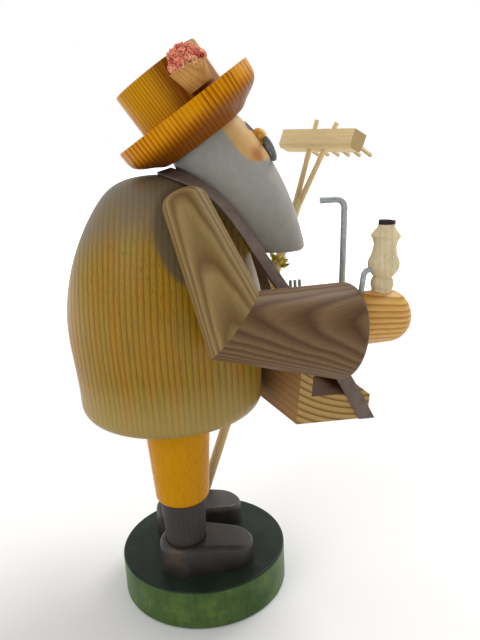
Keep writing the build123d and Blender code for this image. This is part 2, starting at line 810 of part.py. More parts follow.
with BuildPart() as rake_bar:
    with BuildSketch(Plane(origin=bar_centre, x_dir=bar_axis, z_dir=-bar_front)):
        half = rake_bar_length / 2
        rise = half * tan(radians(rake_bar_slant))
        with BuildLine():
            Polyline(
                (-half, -rise - rake_bar_height / 2),
                (half, rise - rake_bar_height / 2),
                (half, rise + rake_bar_height / 2),
                (-half, -rise + rake_bar_height / 2),
                close=True,
            )
        make_face()
    extrude(amount=rake_bar_depth / 2, both=True)
    long_edges = rake_bar.edges().filter_by(lambda edge: edge.length > rake_bar_length - rake_bar_chamfer)
    chamfer(long_edges.sort_by(Axis((0, 0, 0), rake_axis))[:2], rake_bar_chamfer)
    add(rake_form(rake_clearance), mode=Mode.SUBTRACT)
    for root in tine_roots:
        with BuildSketch(Plane(origin=root, z_dir=tine_axis)):
            Circle(rake_tine_diameter / 2 + dowel_clearance)
        extrude(amount=rake_bar_depth, mode=Mode.SUBTRACT)
rake_bar.part.label = "rake_bar"
export_step(rake_bar.part, "parts/rake_bar.step")

for index, root in enumerate(tine_roots):
    with BuildPart() as rake_tine:
        with BuildSketch(Plane(origin=root, z_dir=tine_axis)):
            Circle(rake_tine_diameter / 2)
        extrude(amount=rake_tine_set + rake_tine_length)
        fillet(rake_tine.edges().sort_by(Axis((0, 0, 0), tine_axis))[-1], rake_tine_round)
    rake_tine.part.label = f"rake_tine_{index + 1}"
    export_step(rake_tine.part, f"parts/rake_tine_{index + 1}.step")

# Herb sprig wound round the rake handle above the left hand
herb_centre = grip + rake_axis * herb_reach
with BuildPart() as herb_sprig:
    with Locations(Plane(origin=herb_centre, z_dir=rake_axis).location):
        Cylinder(herb_radius, herb_height)
    fillet(herb_sprig.edges().filter_by(GeomType.CIRCLE), herb_height / 2 - herb_round)
    add(rake_form(rake_clearance), mode=Mode.SUBTRACT)
herb_sprig.part.label = "herb_sprig"
export_step(herb_sprig.part, "parts/herb_sprig.step")

# Pipe: the bowl's place on the right hand and the bent wire of its stem
pipe_lean_way = Vector(0, -sin(radians(pipe_lean)), cos(radians(pipe_lean)))
pipe_foot = right_wrist + right_palm * pipe_reach + Vector(0, 0, hand_radius)
pipe_back = Vector(-right_palm.X, -right_palm.Y, 0).normalized()
stem_start = pipe_foot + pipe_lean_way * pipe_stem_height
stem_knee = stem_start + pipe_back * pipe_stem_run
stem_end = stem_knee - Vector(0, 0, pipe_stem_height + pipe_stem_set) + pipe_back * pipe_stem_slope


def stem_form(radius):
    """Wire from the bowl towards the body and down into the hand."""
    with BuildPart() as form:
        with BuildLine() as path:
            FilletPolyline(stem_start, stem_knee, stem_end, radius=pipe_stem_bend)
        with BuildSketch(Plane(origin=stem_start, z_dir=pipe_back)):
            Circle(radius)
        sweep(path=path.line)
    return form.part


with BuildPart() as pipe_stem:
    add(stem_form(pipe_wire / 2))
pipe_stem.part.label = "pipe_stem"
export_step(pipe_stem.part, "parts/pipe_stem.step")


def hand_form(wrist, palm, reach, growth):
    """Round hand on its tenon, grown by a clearance for its socket."""
    with BuildPart() as form:
        with BuildSketch(Plane(origin=wrist - palm * (hand_tenon + growth), z_dir=palm)):
            Circle(hand_radius + growth)
        extrude(amount=hand_tenon + reach + growth)
        fillet(form.edges().sort_by(Axis(wrist, palm))[-1], hand_round)
    return form.part


# Pipe bowl, turned like a little baluster, with a peg into the hand
pipe_profile = Plane(origin=pipe_foot, x_dir=(1, 0, 0), z_dir=pipe_lean_way.cross(Vector(-1, 0, 0)))
bore_floor = pipe_foot + pipe_lean_way * (pipe_height - pipe_bore_depth)
peg_top = pipe_foot + pipe_lean_way * pipe_bead_height
with BuildPart() as pipe_bowl:
    with BuildSketch(pipe_profile):
        with BuildLine():
            sole = Line((0, -pipe_bead_height), (pipe_sole_radius, -pipe_bead_height))
            stalk = Line(sole @ 1, (pipe_sole_radius, pipe_bead_height / 4))
            bead = ThreePointArc(
                stalk @ 1,
                (pipe_bead_radius, pipe_bead_height),
                (pipe_neck_radius, pipe_neck_height),
            )
            belly = Spline(
                bead @ 1,
                (pipe_belly_radius, pipe_belly_height),
                (pipe_waist_radius, pipe_waist_height),
                tangents=((1, 1), (0, 1)),
            )
            flare = TangentArc(belly @ 1, (pipe_cap_radius, pipe_cap_height), tangent=(0, 1))
            cone = Line(flare @ 1, (pipe_rim_radius, pipe_cone_height))
            ring = Line(cone @ 1, (pipe_rim_radius, pipe_height))
            rim = Line(ring @ 1, (0, pipe_height))
            Line(rim @ 1, sole @ 0)
        make_face()
    revolve(axis=Axis(pipe_foot, pipe_lean_way))
    add(hand_form(right_wrist, right_palm, right_hand_reach, dowel_clearance), mode=Mode.SUBTRACT)
    with BuildSketch(Plane(origin=peg_top, z_dir=-pipe_lean_way)):
        Circle(pipe_peg_diameter / 2)
    extrude(amount=pipe_bead_height + pipe_peg_length)
    with BuildSketch(Plane(origin=bore_floor, z_dir=pipe_lean_way)):
        Circle(pipe_bore_diameter / 2)
    extrude(amount=pipe_height, mode=Mode.SUBTRACT)
    add(stem_form(pipe_wire / 2 + dowel_clearance), mode=Mode.SUBTRACT)
pipe_bowl.part.label = "pipe_bowl"
export_step(pipe_bowl.part, "parts/pipe_bowl.step")

# Hands
with BuildPart() as right_hand:
    add(hand_form(right_wrist, right_palm, right_hand_reach, 0))
    with BuildSketch(Plane(origin=pipe_foot, z_dir=-pipe_lean_way)):
        Circle(pipe_peg_diameter / 2 + dowel_clearance)
    extrude(amount=pipe_peg_length + dowel_clearance, both=True, mode=Mode.SUBTRACT)
    add(stem_form(pipe_wire / 2 + dowel_clearance), mode=Mode.SUBTRACT)
right_hand.part.label = "right_hand"
export_step(right_hand.part, "parts/right_hand.step")

with BuildPart() as left_hand:
    add(hand_form(left_wrist, left_palm, left_hand_reach, 0))
    add(rake_form(rake_clearance), mode=Mode.SUBTRACT)
left_hand.part.label = "left_hand"
export_step(left_hand.part, "parts/left_hand.step")


# Sleeves: each arm is two turned pieces mitred at the elbow and coped to the coat
sleeves = (
    ("right", right_shoulder, right_elbow, right_forward, right_wrist, right_palm, right_hand_reach),
    ("left", left_shoulder, left_elbow, left_forward, left_wrist, left_palm, left_hand_reach),
)
for word, shoulder, elbow, forward, wrist, palm, reach in sleeves:
    down = (elbow - shoulder).normalized()
    bend_axis = down.cross(forward).normalized()
    mitre = Plane(origin=elbow, x_dir=bend_axis, z_dir=(down + forward).normalized())
    mitre_radius = elbow_radius / mitre.z_dir.dot(down)
    dowel_plane = arm_dowel_plane(shoulder, elbow)

    with BuildPart() as upper_arm:
        with BuildSketch(Plane(origin=shoulder, x_dir=bend_axis, z_dir=down)):
            Circle(shoulder_radius)
        with BuildSketch(mitre):
            Ellipse(elbow_radius, mitre_radius)
        loft()
        fillet(upper_arm.edges().sort_by(Axis(shoulder, down))[0], shoulder_round)
        add(coat_form(glue_gap), mode=Mode.SUBTRACT)
        with BuildSketch(dowel_plane):
            Circle(arm_dowel_diameter / 2 + dowel_clearance)
        extrude(amount=arm_dowel_length / 2 + dowel_clearance, both=True, mode=Mode.SUBTRACT)
    upper_arm.part.label = f"{word}_upper_arm"
    export_step(upper_arm.part, f"parts/{word}_upper_arm.step")

    with BuildPart() as arm_dowel:
        with BuildSketch(dowel_plane):
            Circle(arm_dowel_diameter / 2)
        extrude(amount=arm_dowel_length / 2, both=True)
        chamfer(arm_dowel.edges().filter_by(GeomType.CIRCLE), dowel_chamfer)
    arm_dowel.part.label = f"{word}_arm_dowel"
    export_step(arm_dowel.part, f"parts/{word}_arm_dowel.step")

    with BuildPart() as forearm:
        with BuildSketch(mitre):
            Ellipse(elbow_radius, mitre_radius)
        with BuildSketch(Plane(origin=elbow + forward * forearm_length, x_dir=bend_axis, z_dir=forward)):
            Circle(cuff_radius)
        loft()
        fillet(forearm.edges().sort_by(Axis(elbow, forward))[-1], cuff_round)
        add(coat_form(glue_gap), mode=Mode.SUBTRACT)
        add(hand_form(wrist, palm, reach, dowel_clearance), mode=Mode.SUBTRACT)
    forearm.part.label = f"{word}_forearm"
    export_step(forearm.part, f"parts/{word}_forearm.step")

# Strap: one flat band from the tray's near end, round the neck, to its far end, trimmed level with the tray
strap_lift = strap_gap + strap_thickness / 2
near_end = []
far_end = []
strap_slope = (strap_foot_forward - strap_top_forward) / strap_top_up
strap_over = strap_foot_forward + strap_slope * strap_width
for forward_place, up_place in ((strap_top_forward, strap_top_up), (strap_over, -strap_width)):
    near_end.append(on_tray(-strap_lift, forward_place, up_place))
    far_end.append(on_tray(tray_length + strap_lift, forward_place, up_place))


def strap_side(side, ends):
    """Points of one half of the strap, from beside the neck down to the tray's end."""
    points = []
    for across, ahead, rise in strap_route:
        points.append(Vector(side * across, figure_back - ahead, coat_top + rise))
    knee = points[-1] * (1 - strap_knee_share) + ends[0] * strap_knee_share
    points.append(knee + Vector(-side * strap_knee_in, 0, 0))
    return points + ends


strap_nape = Vector(0, figure_back - strap_nape_ahead, coat_top + strap_nape_rise)
strap_points = strap_side(-1, near_end)[::-1] + [strap_nape] + strap_side(1, far_end)
near_facings = [Vector(*turn_way) for turn_way in strap_turns] + [-tray_along] * 2
far_facings = [Vector(-x, y, z) for x, y, z in strap_turns] + [tray_along] * 2
strap_facings = near_facings[::-1] + [Vector(0, strap_nape_lean, 1)] + far_facings
with BuildPart() as strap:
    for index, (point, facing) in enumerate(zip(strap_points, strap_facings)):
        before = strap_points[max(index - 1, 0)]
        after = strap_points[min(index + 1, len(strap_points) - 1)]
        tangent = (after - before).normalized()
        width_way = tangent.cross(facing).normalized()
        with BuildSketch(Plane(origin=point, x_dir=width_way, z_dir=width_way.cross(facing))):
            Rectangle(strap_width, strap_thickness)
    loft(ruled=True)
    split(bisect_by=Plane(origin=tray_near, x_dir=tray_along, z_dir=tray_up), keep=Keep.TOP)
strap.part.label = "strap"
export_step(strap.part, "parts/strap.step")
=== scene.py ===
# %% [markdown]
# # A turned wooden incense smoker
# The figure is a folk ornament from a lathe: a pedlar whose hollow coat lifts off to take an incense cone.
# The solids come ready in the frame, each at its real size and place, in metres. This lesson dresses them:
# every surface gets a stain, a paint or a metal finish. The strap, the spectacles, the blossom and the herb
# are modelled again, because leather, flattened wire and dried leaves have forms that plain solids lack.

# %% Load the frame
import math
import random

import bpy
from mathutils import Matrix, Quaternion, Vector


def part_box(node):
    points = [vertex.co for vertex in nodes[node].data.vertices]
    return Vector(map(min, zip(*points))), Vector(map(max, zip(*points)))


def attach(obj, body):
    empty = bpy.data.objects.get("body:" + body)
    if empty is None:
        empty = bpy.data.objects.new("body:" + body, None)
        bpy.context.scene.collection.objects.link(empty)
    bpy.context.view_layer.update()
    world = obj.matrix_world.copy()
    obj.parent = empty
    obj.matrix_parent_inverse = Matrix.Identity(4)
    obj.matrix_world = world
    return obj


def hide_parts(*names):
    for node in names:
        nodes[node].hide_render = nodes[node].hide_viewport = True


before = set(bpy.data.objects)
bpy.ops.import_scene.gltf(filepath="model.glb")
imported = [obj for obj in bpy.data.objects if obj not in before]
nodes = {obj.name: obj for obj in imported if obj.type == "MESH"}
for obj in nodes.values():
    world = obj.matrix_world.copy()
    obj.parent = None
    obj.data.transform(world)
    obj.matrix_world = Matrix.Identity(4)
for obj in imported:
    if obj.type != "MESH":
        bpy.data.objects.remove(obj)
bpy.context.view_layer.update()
MM = 0.001

# %% [markdown]
# ## Places that the finishes need
# A stain follows the wood, and wood has a direction: the coat's grain stands upright, the hat's grain leans
# with the hat. The finishes need a few such places and directions, written once here. Places on the head
# are measured in its own leaning frame, so that a cheek or an eye is found by how deep it lies under the
# brim's top, how far ahead of the head's middle line and how far to the side.

# %% Places and directions
UP = Vector((0, 0, 1))
COAT_AXIS = Vector((0, 9.0, 0)) * MM
HAT_LEAN = math.radians(33.5)
HEAD_TURN = (-HAT_LEAN, 0, 0)
BRIM_TOP = Vector((0, -3.5, 215.2)) * MM
HAT_UP = Vector((0, math.sin(HAT_LEAN), math.cos(HAT_LEAN)))
FACE_AHEAD = Vector((0, -math.cos(HAT_LEAN), math.sin(HAT_LEAN)))


def on_head(depth, ahead, across=0.0):
    """Place under the brim's top, ahead of the head's middle line and to the side, in millimetres."""
    return BRIM_TOP - HAT_UP * depth * MM + FACE_AHEAD * ahead * MM + Vector((across, 0, 0)) * MM


print("the face looks along", [round(v, 2) for v in FACE_AHEAD])

# %% [markdown]
# ## Shader helpers
# A material is a small graph of nodes. Wiring each graph by hand in the shader editor is slow to repeat, so
# short helpers do it: they start a material, add a node, mix colours and measure places. Colours are written
# as they look on a screen, from 0 to 255, and changed to the linear values that the shader wants.

# %% Start a material and add nodes
def tone(red, green, blue):
    """Screen colour, 0 to 255, as a linear shader colour."""
    linear = []
    for channel in (red, green, blue):
        share = channel / 255
        linear.append(share / 12.92 if share <= 0.04045 else ((share + 0.055) / 1.055) ** 2.4)
    return (*linear, 1.0)


def start_finish(name, shine=0.5, metal=0.0):
    """New material with its node tree and its main shader."""
    material = bpy.data.materials.new(name)
    material.use_nodes = True
    tree = material.node_tree
    shader = tree.nodes["Principled BSDF"]
    shader.inputs["Specular IOR Level"].default_value = shine
    shader.inputs["Metallic"].default_value = metal
    return material, tree, shader


def add(tree, kind, inputs=None, **settings):
    """New shader node with settings; an input is a value or another node's output."""
    made = tree.nodes.new(kind)
    for key, value in settings.items():
        setattr(made, key, value)
    for key, value in (inputs or {}).items():
        if isinstance(value, bpy.types.NodeSocket):
            tree.links.new(value, made.inputs[key])
        else:
            made.inputs[key].default_value = value
    return made


print("mid grey on a screen is", round(tone(128, 128, 128)[0], 3), "in a shader")


# %% Mix colours and numbers
def ramp(tree, factor, stops):
    """Colours along a factor; stops are pairs of place and colour."""
    made = add(tree, "ShaderNodeValToRGB", {"Fac": factor})
    elements = made.color_ramp.elements
    while len(elements) < len(stops):
        elements.new(0.5)
    for element, (place, colour) in zip(elements, stops):
        element.position = place
        element.color = colour
    return made.outputs["Color"]


def fade(tree, value, start, end):
    """0 below start and 1 above end, with a smooth step between; start above end turns it round."""
    made = add(
        tree,
        "ShaderNodeMapRange",
        {"Value": value, "From Min": start, "From Max": end},
        interpolation_type="SMOOTHSTEP",
    )
    return made.outputs["Result"]


def math_node(tree, operation, first, second=0.0):
    """One arithmetic step on numbers or sockets."""
    return add(tree, "ShaderNodeMath", {0: first, 1: second}, operation=operation).outputs[0]


def times(tree, first, second):
    """Product of two numbers or sockets."""
    return math_node(tree, "MULTIPLY", first, second)


def blend_colours(tree, factor, first, second, blend_type="MIX"):
    """Mix of two colours by a factor."""
    inputs = {0: factor, 6: first, 7: second}
    return add(tree, "ShaderNodeMix", inputs, data_type="RGBA", blend_type=blend_type).outputs[2]


def cover(tree, mask, density, under, paint):
    """Paint over a colour where a mask is 1; the density is the share of the colour that it hides."""
    return blend_colours(tree, times(tree, mask, density), under, paint)


print("mixing helpers:", ", ".join(helper.__name__ for helper in (ramp, fade, times, blend_colours, cover)))


# %% Measure places on the object
def here(tree):
    """Object coordinates of the shaded point."""
    return add(tree, "ShaderNodeTexCoord").outputs["Object"]


def place_in(tree, origin, turn=(0, 0, 0), scale=(1, 1, 1)):
    """Coordinates measured from a place on the object, turned and scaled like a ruler laid there."""
    inputs = {"Vector": here(tree), "Location": origin, "Rotation": turn, "Scale": scale}
    return add(tree, "ShaderNodeMapping", inputs, vector_type="TEXTURE").outputs["Vector"]


def distance_in(tree, origin, scale=(1, 1, 1)):
    """Distance from a place, in units of the scale."""
    laid = place_in(tree, origin, scale=scale)
    return add(tree, "ShaderNodeVectorMath", {0: laid}, operation="LENGTH").outputs["Value"]


def along(tree, vector, axis):
    """One coordinate of a vector."""
    return add(tree, "ShaderNodeSeparateXYZ", {"Vector": vector}).outputs[axis]


def mottling(tree, scale, detail, roughness=0.5):
    """Cloudy noise in space, 0 to 1."""
    inputs = {"Vector": here(tree), "Scale": scale, "Detail": detail, "Roughness": roughness}
    return add(tree, "ShaderNodeTexNoise", inputs).outputs["Fac"]


print("measuring helpers:", ", ".join(helper.__name__ for helper in (place_in, distance_in, along, mottling)))


# %% Set a surface
def recolour(tree, shader, colour):
    """Puts a colour on the main shader, in place of any that it had."""
    tree.links.new(colour, shader.inputs["Base Color"])


def set_gloss(tree, shader, value, low, high, start=0.0, end=1.0):
    """Roughness from low to high while a value goes from start to end."""
    inputs = {"Value": value, "From Min": start, "From Max": end, "To Min": low, "To Max": high}
    roughness = add(tree, "ShaderNodeMapRange", inputs)
    tree.links.new(roughness.outputs["Result"], shader.inputs["Roughness"])


def set_relief(tree, shader, height, strength, depth):
    """Fine bumps that follow a value."""
    bump = add(tree, "ShaderNodeBump", {"Height": height, "Strength": strength, "Distance": depth})
    tree.links.new(bump.outputs["Normal"], shader.inputs["Normal"])


def dress(material, *names):
    """Gives a finish to CAD nodes."""
    for name in names:
        nodes[name].data.materials.clear()
        nodes[name].data.materials.append(material)
    print(material.name, "on", ", ".join(names))


print("surface helpers:", ", ".join(helper.__name__ for helper in (recolour, set_gloss, set_relief, dress)))

# %% [markdown]
# ## Wood
# A plank shows its growth rings differently on each side: fine stripes where the rings are cut across, wide
# flames where they are cut along. Stripes painted on each side would never meet at the edges. Here the rings
# are made in space instead, as tubes round a pith line, and every surface simply cuts through them, as the
# lathe did. A second, stretched noise gives the fibres.

# %% Growth rings and fibres
# At scale 1 the wave texture makes one ring in this length
RING_UNIT = 2 * math.pi / 20


def growth_rings(tree, pith, way, pitch, wobble, stretch, ragged):
    """Rings round a pith line: 0 in the early wood, rising to 1 in the late wood."""
    turn = way.to_track_quat("Z", "Y").to_euler()
    wave = add(
        tree,
        "ShaderNodeTexWave",
        {
            "Vector": place_in(tree, pith, turn, (1, 1, stretch)),
            "Scale": RING_UNIT / pitch,
            "Distortion": wobble,
            "Detail": 2.0,
            "Detail Scale": ragged,
            "Detail Roughness": 0.5,
        },
        wave_type="RINGS",
        rings_direction="Z",
        wave_profile="SAW",
    )
    return wave.outputs["Fac"]


def fibres(tree, way, width, length):
    """Fine streaks along the grain, 0 to 1."""
    turn = way.to_track_quat("Z", "Y").to_euler()
    laid = place_in(tree, (0, 0, 0), turn, (width, width, length))
    inputs = {"Vector": laid, "Scale": 1.0, "Detail": 3.0, "Roughness": 0.6}
    return add(tree, "ShaderNodeTexNoise", inputs).outputs["Fac"]


print("a ring takes", round(RING_UNIT, 4), "m at scale 1")

# %% Stained wood
GRAIN_DEPTH = 0.3 * MM
FIBRE_WIDTH = 0.45 * MM
FIBRE_LENGTH = 9 * MM


def wood_surface(tree, shader, colour, rings, streaks, gloss, relief):
    """Joins colour, satin gloss and a little relief of the grain to the main shader."""
    recolour(tree, shader, colour)
    set_gloss(tree, shader, streaks, *gloss, start=0.3, end=0.7)
    height = math_node(tree, "ADD", times(tree, rings, 0.5), times(tree, streaks, 0.5))
    set_relief(tree, shader, height, relief, GRAIN_DEPTH)


def wood(name, light, dark, pith, way, pitch, wobble=2.0, late=(0.45, 0.88), gloss=(0.36, 0.5),
         relief=0.12, stretch=4.0, streak_depth=0.16, shine=0.1, ragged=0.18, edge=0.06):
    """Stained wood with rings from a light to a dark colour; returns what paint can go over."""
    material, tree, shader = start_finish(name, shine)
    rings = growth_rings(tree, pith, way, pitch, wobble, stretch, ragged)
    streaks = fibres(tree, way, FIBRE_WIDTH, FIBRE_LENGTH)
    middle = tuple((a + b) / 2 for a, b in zip(light, dark))
    stops = ((0.0, middle), (edge, light), (late[0], light), (late[1], dark), (1.0, middle))
    dim = (1 - streak_depth,) * 3
    lit = (1 + streak_depth * 0.4,) * 3
    shade = ramp(tree, streaks, ((0.3, (*dim, 1)), (0.7, (*lit, 1))))
    colour = blend_colours(tree, 1.0, ramp(tree, rings, stops), shade, "MULTIPLY")
    wood_surface(tree, shader, colour, rings, streaks, gloss, relief)
    return material, tree, shader, colour


print("fibres are", round(FIBRE_WIDTH / MM, 2), "mm wide and", round(FIBRE_LENGTH / MM), "mm long")

# %% [markdown]
# ## Base, shoes and trousers
# The base was dipped in a green glaze. It is coloured darker on the flat top, and lighter and mottled round
# the side. Two materials would need an edge between them, so one material changes with the height. The shoes
# are stained almost black, with lighter brown patches at random. The trousers are beech, with short flecks in
# an amber glaze, and need no rings, because beech hardly shows them.

# %% Base in green glaze
BASE_HEIGHT = 18.4 * MM
RUNS_SHARE = 0.25
TOP_EDGE = (BASE_HEIGHT - 1.1 * MM, BASE_HEIGHT - 0.2 * MM)
material, tree, shader = start_finish("green_glaze", shine=0.12)
cloud = mottling(tree, 95.0, 5.0, 0.62)
runs = fibres(tree, UP, 1.3 * MM, 14 * MM)
mottle = add(tree, "ShaderNodeMix", {0: RUNS_SHARE, 2: cloud, 3: runs}).outputs[0]
side_stops = ((0.36, tone(60, 84, 42)), (0.52, tone(76, 101, 53)), (0.68, tone(104, 124, 58)))
side_tone = ramp(tree, mottle, side_stops)
top_tone = ramp(tree, cloud, ((0.35, tone(30, 40, 32)), (0.65, tone(42, 52, 42))))
# The flat top is coloured darker than the side
on_top = fade(tree, along(tree, here(tree), "Z"), *TOP_EDGE)
recolour(tree, shader, blend_colours(tree, on_top, side_tone, top_tone))
set_gloss(tree, shader, mottle, 0.26, 0.44)
set_relief(tree, shader, mottle, 0.08, 0.4 * MM)
dress(material, "base_disc")

# %% Shoes and boot shafts in dark stain
material, tree, shader, colour = wood(
    "dark_shoe_stain",
    tone(46, 42, 39),
    tone(42, 38, 35),
    pith=Vector((0, 60, -90)) * MM,
    way=Vector((0.1, -1, 0.05)).normalized(),
    pitch=1.6 * MM,
    relief=0.03,
    streak_depth=0.2,
    shine=0.5,
)
# Lighter brown patches, set at random by noise
brown_patches = fade(tree, mottling(tree, 110.0, 4.0), 0.46, 0.7)
recolour(tree, shader, cover(tree, brown_patches, 0.6, colour, tone(78, 58, 44)))
dress(material, "right_shoe", "left_shoe")
shaft_finish = wood(
    "dark_shaft_stain",
    tone(66, 62, 60),
    tone(62, 58, 56),
    pith=Vector((0, 80, 0)) * MM,
    way=UP,
    pitch=2.0 * MM,
    relief=0.0,
    gloss=(0.4, 0.55),
    streak_depth=0.08,
)
dress(shaft_finish[0], "right_boot_shaft", "left_boot_shaft")

# %% Trousers in amber glaze
material, tree, shader = start_finish("amber_glaze", shine=0.08)
streaks = fibres(tree, UP, 0.5 * MM, 5 * MM)
flecks = fibres(tree, UP, 0.35 * MM, 2.2 * MM)
amber = ramp(tree, streaks, ((0.3, tone(184, 124, 0)), (0.7, tone(202, 142, 4))))
amber = cover(tree, fade(tree, flecks, 0.66, 0.74), 0.45, amber, tone(140, 82, 6))
wood_surface(tree, shader, amber, flecks, streaks, gloss=(0.24, 0.36), relief=0.05)
dress(material, "right_trouser_leg", "left_trouser_leg")

# %% [markdown]
# ## Inner pieces
# Nobody sees the dowels, the plug and the tin dish until the coat is lifted, and then they have to look
# right: bare beech from the turner, and pressed tin with faint turning marks and a little soot. The marks
# are rings round the coat's axis, and the soot fades with the distance from the cone's foot.

# %% Bare beech
beech_finish = wood(
    "bare_beech",
    tone(214, 184, 138),
    tone(190, 154, 106),
    pith=Vector((120, 40, 0)) * MM,
    way=UP,
    pitch=3.0 * MM,
    gloss=(0.5, 0.62),
    relief=0.1,
)
dress(beech_finish[0], "right_leg_dowel", "left_leg_dowel", "hip_plug", "right_arm_dowel", "left_arm_dowel")

# %% Sooted tin dish
CONE_FOOT = COAT_AXIS + UP * 99 * MM
SOOT_REACH = (4 * MM, 11 * MM)
material, tree, shader = start_finish("sooted_tin", metal=0.9)
turned = add(
    tree,
    "ShaderNodeTexWave",
    {"Vector": place_in(tree, COAT_AXIS), "Scale": 420.0, "Distortion": 1.0},
    wave_type="RINGS",
    rings_direction="Z",
).outputs["Fac"]
bright = ramp(tree, turned, ((0.0, tone(182, 182, 178)), (1.0, tone(206, 206, 202))))
clean = fade(tree, distance_in(tree, CONE_FOOT), *SOOT_REACH)
recolour(tree, shader, blend_colours(tree, clean, tone(92, 82, 70), bright))
set_gloss(tree, shader, turned, 0.3, 0.46)
set_relief(tree, shader, turned, 0.08, 0.1 * MM)
dress(material, "incense_dish")

# %% [markdown]
# ## Coat
# The coat is spruce with upright grain in an olive stain, painted paler towards the hem as a reflection of
# the white floor. A darker grey-brown was sprayed over the shoulders, and a darker grey-brown patch lies
# round each arm. A painted mask would need a picture, so the spray and the patches are worked out from places
# instead: the spray fades out softly below the dome and a little lower behind, and each arm has a rounder,
# firmer patch.

# %% Coat in olive stain
material, tree, shader, colour = wood(
    "olive_coat_stain",
    tone(151, 116, 18),
    tone(118, 80, 4),
    pith=Vector((30, 260, 0)) * MM,
    way=UP,
    pitch=2.3 * MM,
    wobble=6.0,
    late=(0.5, 0.97),
    gloss=(0.34, 0.48),
    relief=0.04,
    stretch=9.0,
    shine=0.24,
    ragged=0.24,
)
# The wood took the stain unevenly: broad bands turn from olive to amber, and fine dark lines run down
bands = fibres(tree, UP, 9 * MM, 150 * MM)
tint = ramp(tree, bands, ((0.36, (0.93, 1.06, 1.6, 1)), (0.5, (1, 1, 1, 1)), (0.64, (1.1, 0.93, 0.5, 1))))
colour = blend_colours(tree, 1.0, colour, tint, "MULTIPLY")
lines = fade(tree, fibres(tree, UP, 0.9 * MM, 130 * MM), 0.54, 0.68)
colour = cover(tree, lines, 0.4, colour, tone(96, 66, 8))
print("coat stained, with", len(tree.nodes), "nodes so far")

# %% Painted floor reflection at the hem, and sprayed shoulders
HEM_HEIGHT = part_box("coat")[0][2]
HEM_FLOOR_REFLECTION = (HEM_HEIGHT + 28 * MM, HEM_HEIGHT + 6 * MM)
COAT_BACK = (COAT_AXIS.y + 16 * MM, COAT_AXIS.y + 42 * MM)
SPRAY_EDGE = (161 * MM, 183 * MM)
SPRAY_UNEVEN = 14 * MM
SPRAY_LOWER_BEHIND = 16 * MM
height = along(tree, here(tree), "Z")
# Painted reflection of the white floor: the coat turns paler towards the hem
floor_reflection = fade(tree, height, *HEM_FLOOR_REFLECTION)
colour = cover(tree, floor_reflection, 0.5, colour, tone(166, 147, 90))
uneven = math_node(tree, "SUBTRACT", mottling(tree, 60.0, 3.0), 0.5)
height = math_node(tree, "ADD", height, times(tree, uneven, SPRAY_UNEVEN))
behind = fade(tree, along(tree, here(tree), "Y"), *COAT_BACK)
height = math_node(tree, "ADD", height, times(tree, behind, SPRAY_LOWER_BEHIND))
spray_tone = blend_colours(tree, 0.2, tone(99, 95, 85), colour)
sprayed = cover(tree, fade(tree, height, *SPRAY_EDGE), 0.92, colour, spray_tone)
print("hem at", round(HEM_HEIGHT / MM, 1), "mm, spray from", round(SPRAY_EDGE[0] / MM), "mm up")

# %% Darker patches at the arms
ARM_PATCHES = (Vector((-34, -2, 172)) * MM, Vector((34, 3, 172)) * MM)
ARM_PATCH_REACH = Vector((22, 15, 22.5)) * MM
ARM_PATCH_EDGE = (1.1, 0.92)
patch_tone = blend_colours(tree, 0.15, tone(73, 66, 58), colour)
# A darker grey-brown patch round each arm
for patch in ARM_PATCHES:
    covered = fade(tree, distance_in(tree, patch, ARM_PATCH_REACH), *ARM_PATCH_EDGE)
    sprayed = cover(tree, covered, 0.9, sprayed, patch_tone)
recolour(tree, shader, sprayed)
dress(material, "coat")

# %% [markdown]
# ## Head
# The head is one turned egg: grey spray makes the hair and the beard, and the face is a patch of flesh tone
# left free in front, with a rounded lower edge, rosy cheeks and two small painted eyes. All of it is paint on
# one solid, so it is one material, with masks worked out from places on the head.

# %% Grey beard and flesh-toned face
FACE_EDGE_BACK = 11.2 * MM
FACE_EDGE_DROP = 11.0 * MM
FACE_EDGE_BLUR = (1.05, 0.96)
FACE_MIDDLE = on_head(25, 17.5)
material, tree, shader = start_finish("grey_beard_and_face", shine=0.15)
mist = mottling(tree, 240.0, 4.0, 0.55)
beard = ramp(tree, mist, ((0.3, tone(148, 146, 139)), (0.7, tone(157, 155, 148))))
skin = ramp(tree, mist, ((0.3, tone(194, 152, 92)), (0.7, tone(202, 161, 102))))
# The face's edge is a half ellipse below its middle, and goes straight up from there
laid = place_in(tree, FACE_MIDDLE, HEAD_TURN)
below = math_node(tree, "MAXIMUM", times(tree, along(tree, laid, "Z"), -1 / FACE_EDGE_DROP), 0.0)
behind = math_node(tree, "ABSOLUTE", times(tree, along(tree, laid, "Y"), 1 / FACE_EDGE_BACK))
squares = [math_node(tree, "POWER", reach, 2.0) for reach in (below, behind)]
on_face = fade(tree, math_node(tree, "SQRT", math_node(tree, "ADD", *squares)), *FACE_EDGE_BLUR)
print("face patch round", [round(v / MM, 1) for v in FACE_MIDDLE], "mm")

# %% Cheeks and eyes
CHEEK_DEPTH, CHEEK_AHEAD, CHEEK_ACROSS = 31.5, 11.6, 12.6
BLUSH_REACH = (5.2 * MM, 1.0 * MM)
EYE_DEPTH, EYE_AHEAD, EYE_ACROSS = 21.6, 16.0, 5.6
EYE_EDGE = (1.9 * MM, 1.6 * MM)
for side in (-1, 1):
    cheek = on_head(CHEEK_DEPTH, CHEEK_AHEAD, side * CHEEK_ACROSS)
    blush = fade(tree, distance_in(tree, cheek), *BLUSH_REACH)
    skin = cover(tree, blush, 0.85, skin, tone(166, 102, 50))
colour = blend_colours(tree, on_face, beard, skin)
for side in (-1, 1):
    eye = on_head(EYE_DEPTH, EYE_AHEAD, side * EYE_ACROSS)
    dot = fade(tree, distance_in(tree, eye), *EYE_EDGE)
    colour = blend_colours(tree, dot, colour, tone(74, 78, 84))
recolour(tree, shader, colour)
set_gloss(tree, shader, mist, 0.38, 0.52)
set_relief(tree, shader, mist, 0.06, 0.15 * MM)
dress(material, "head")

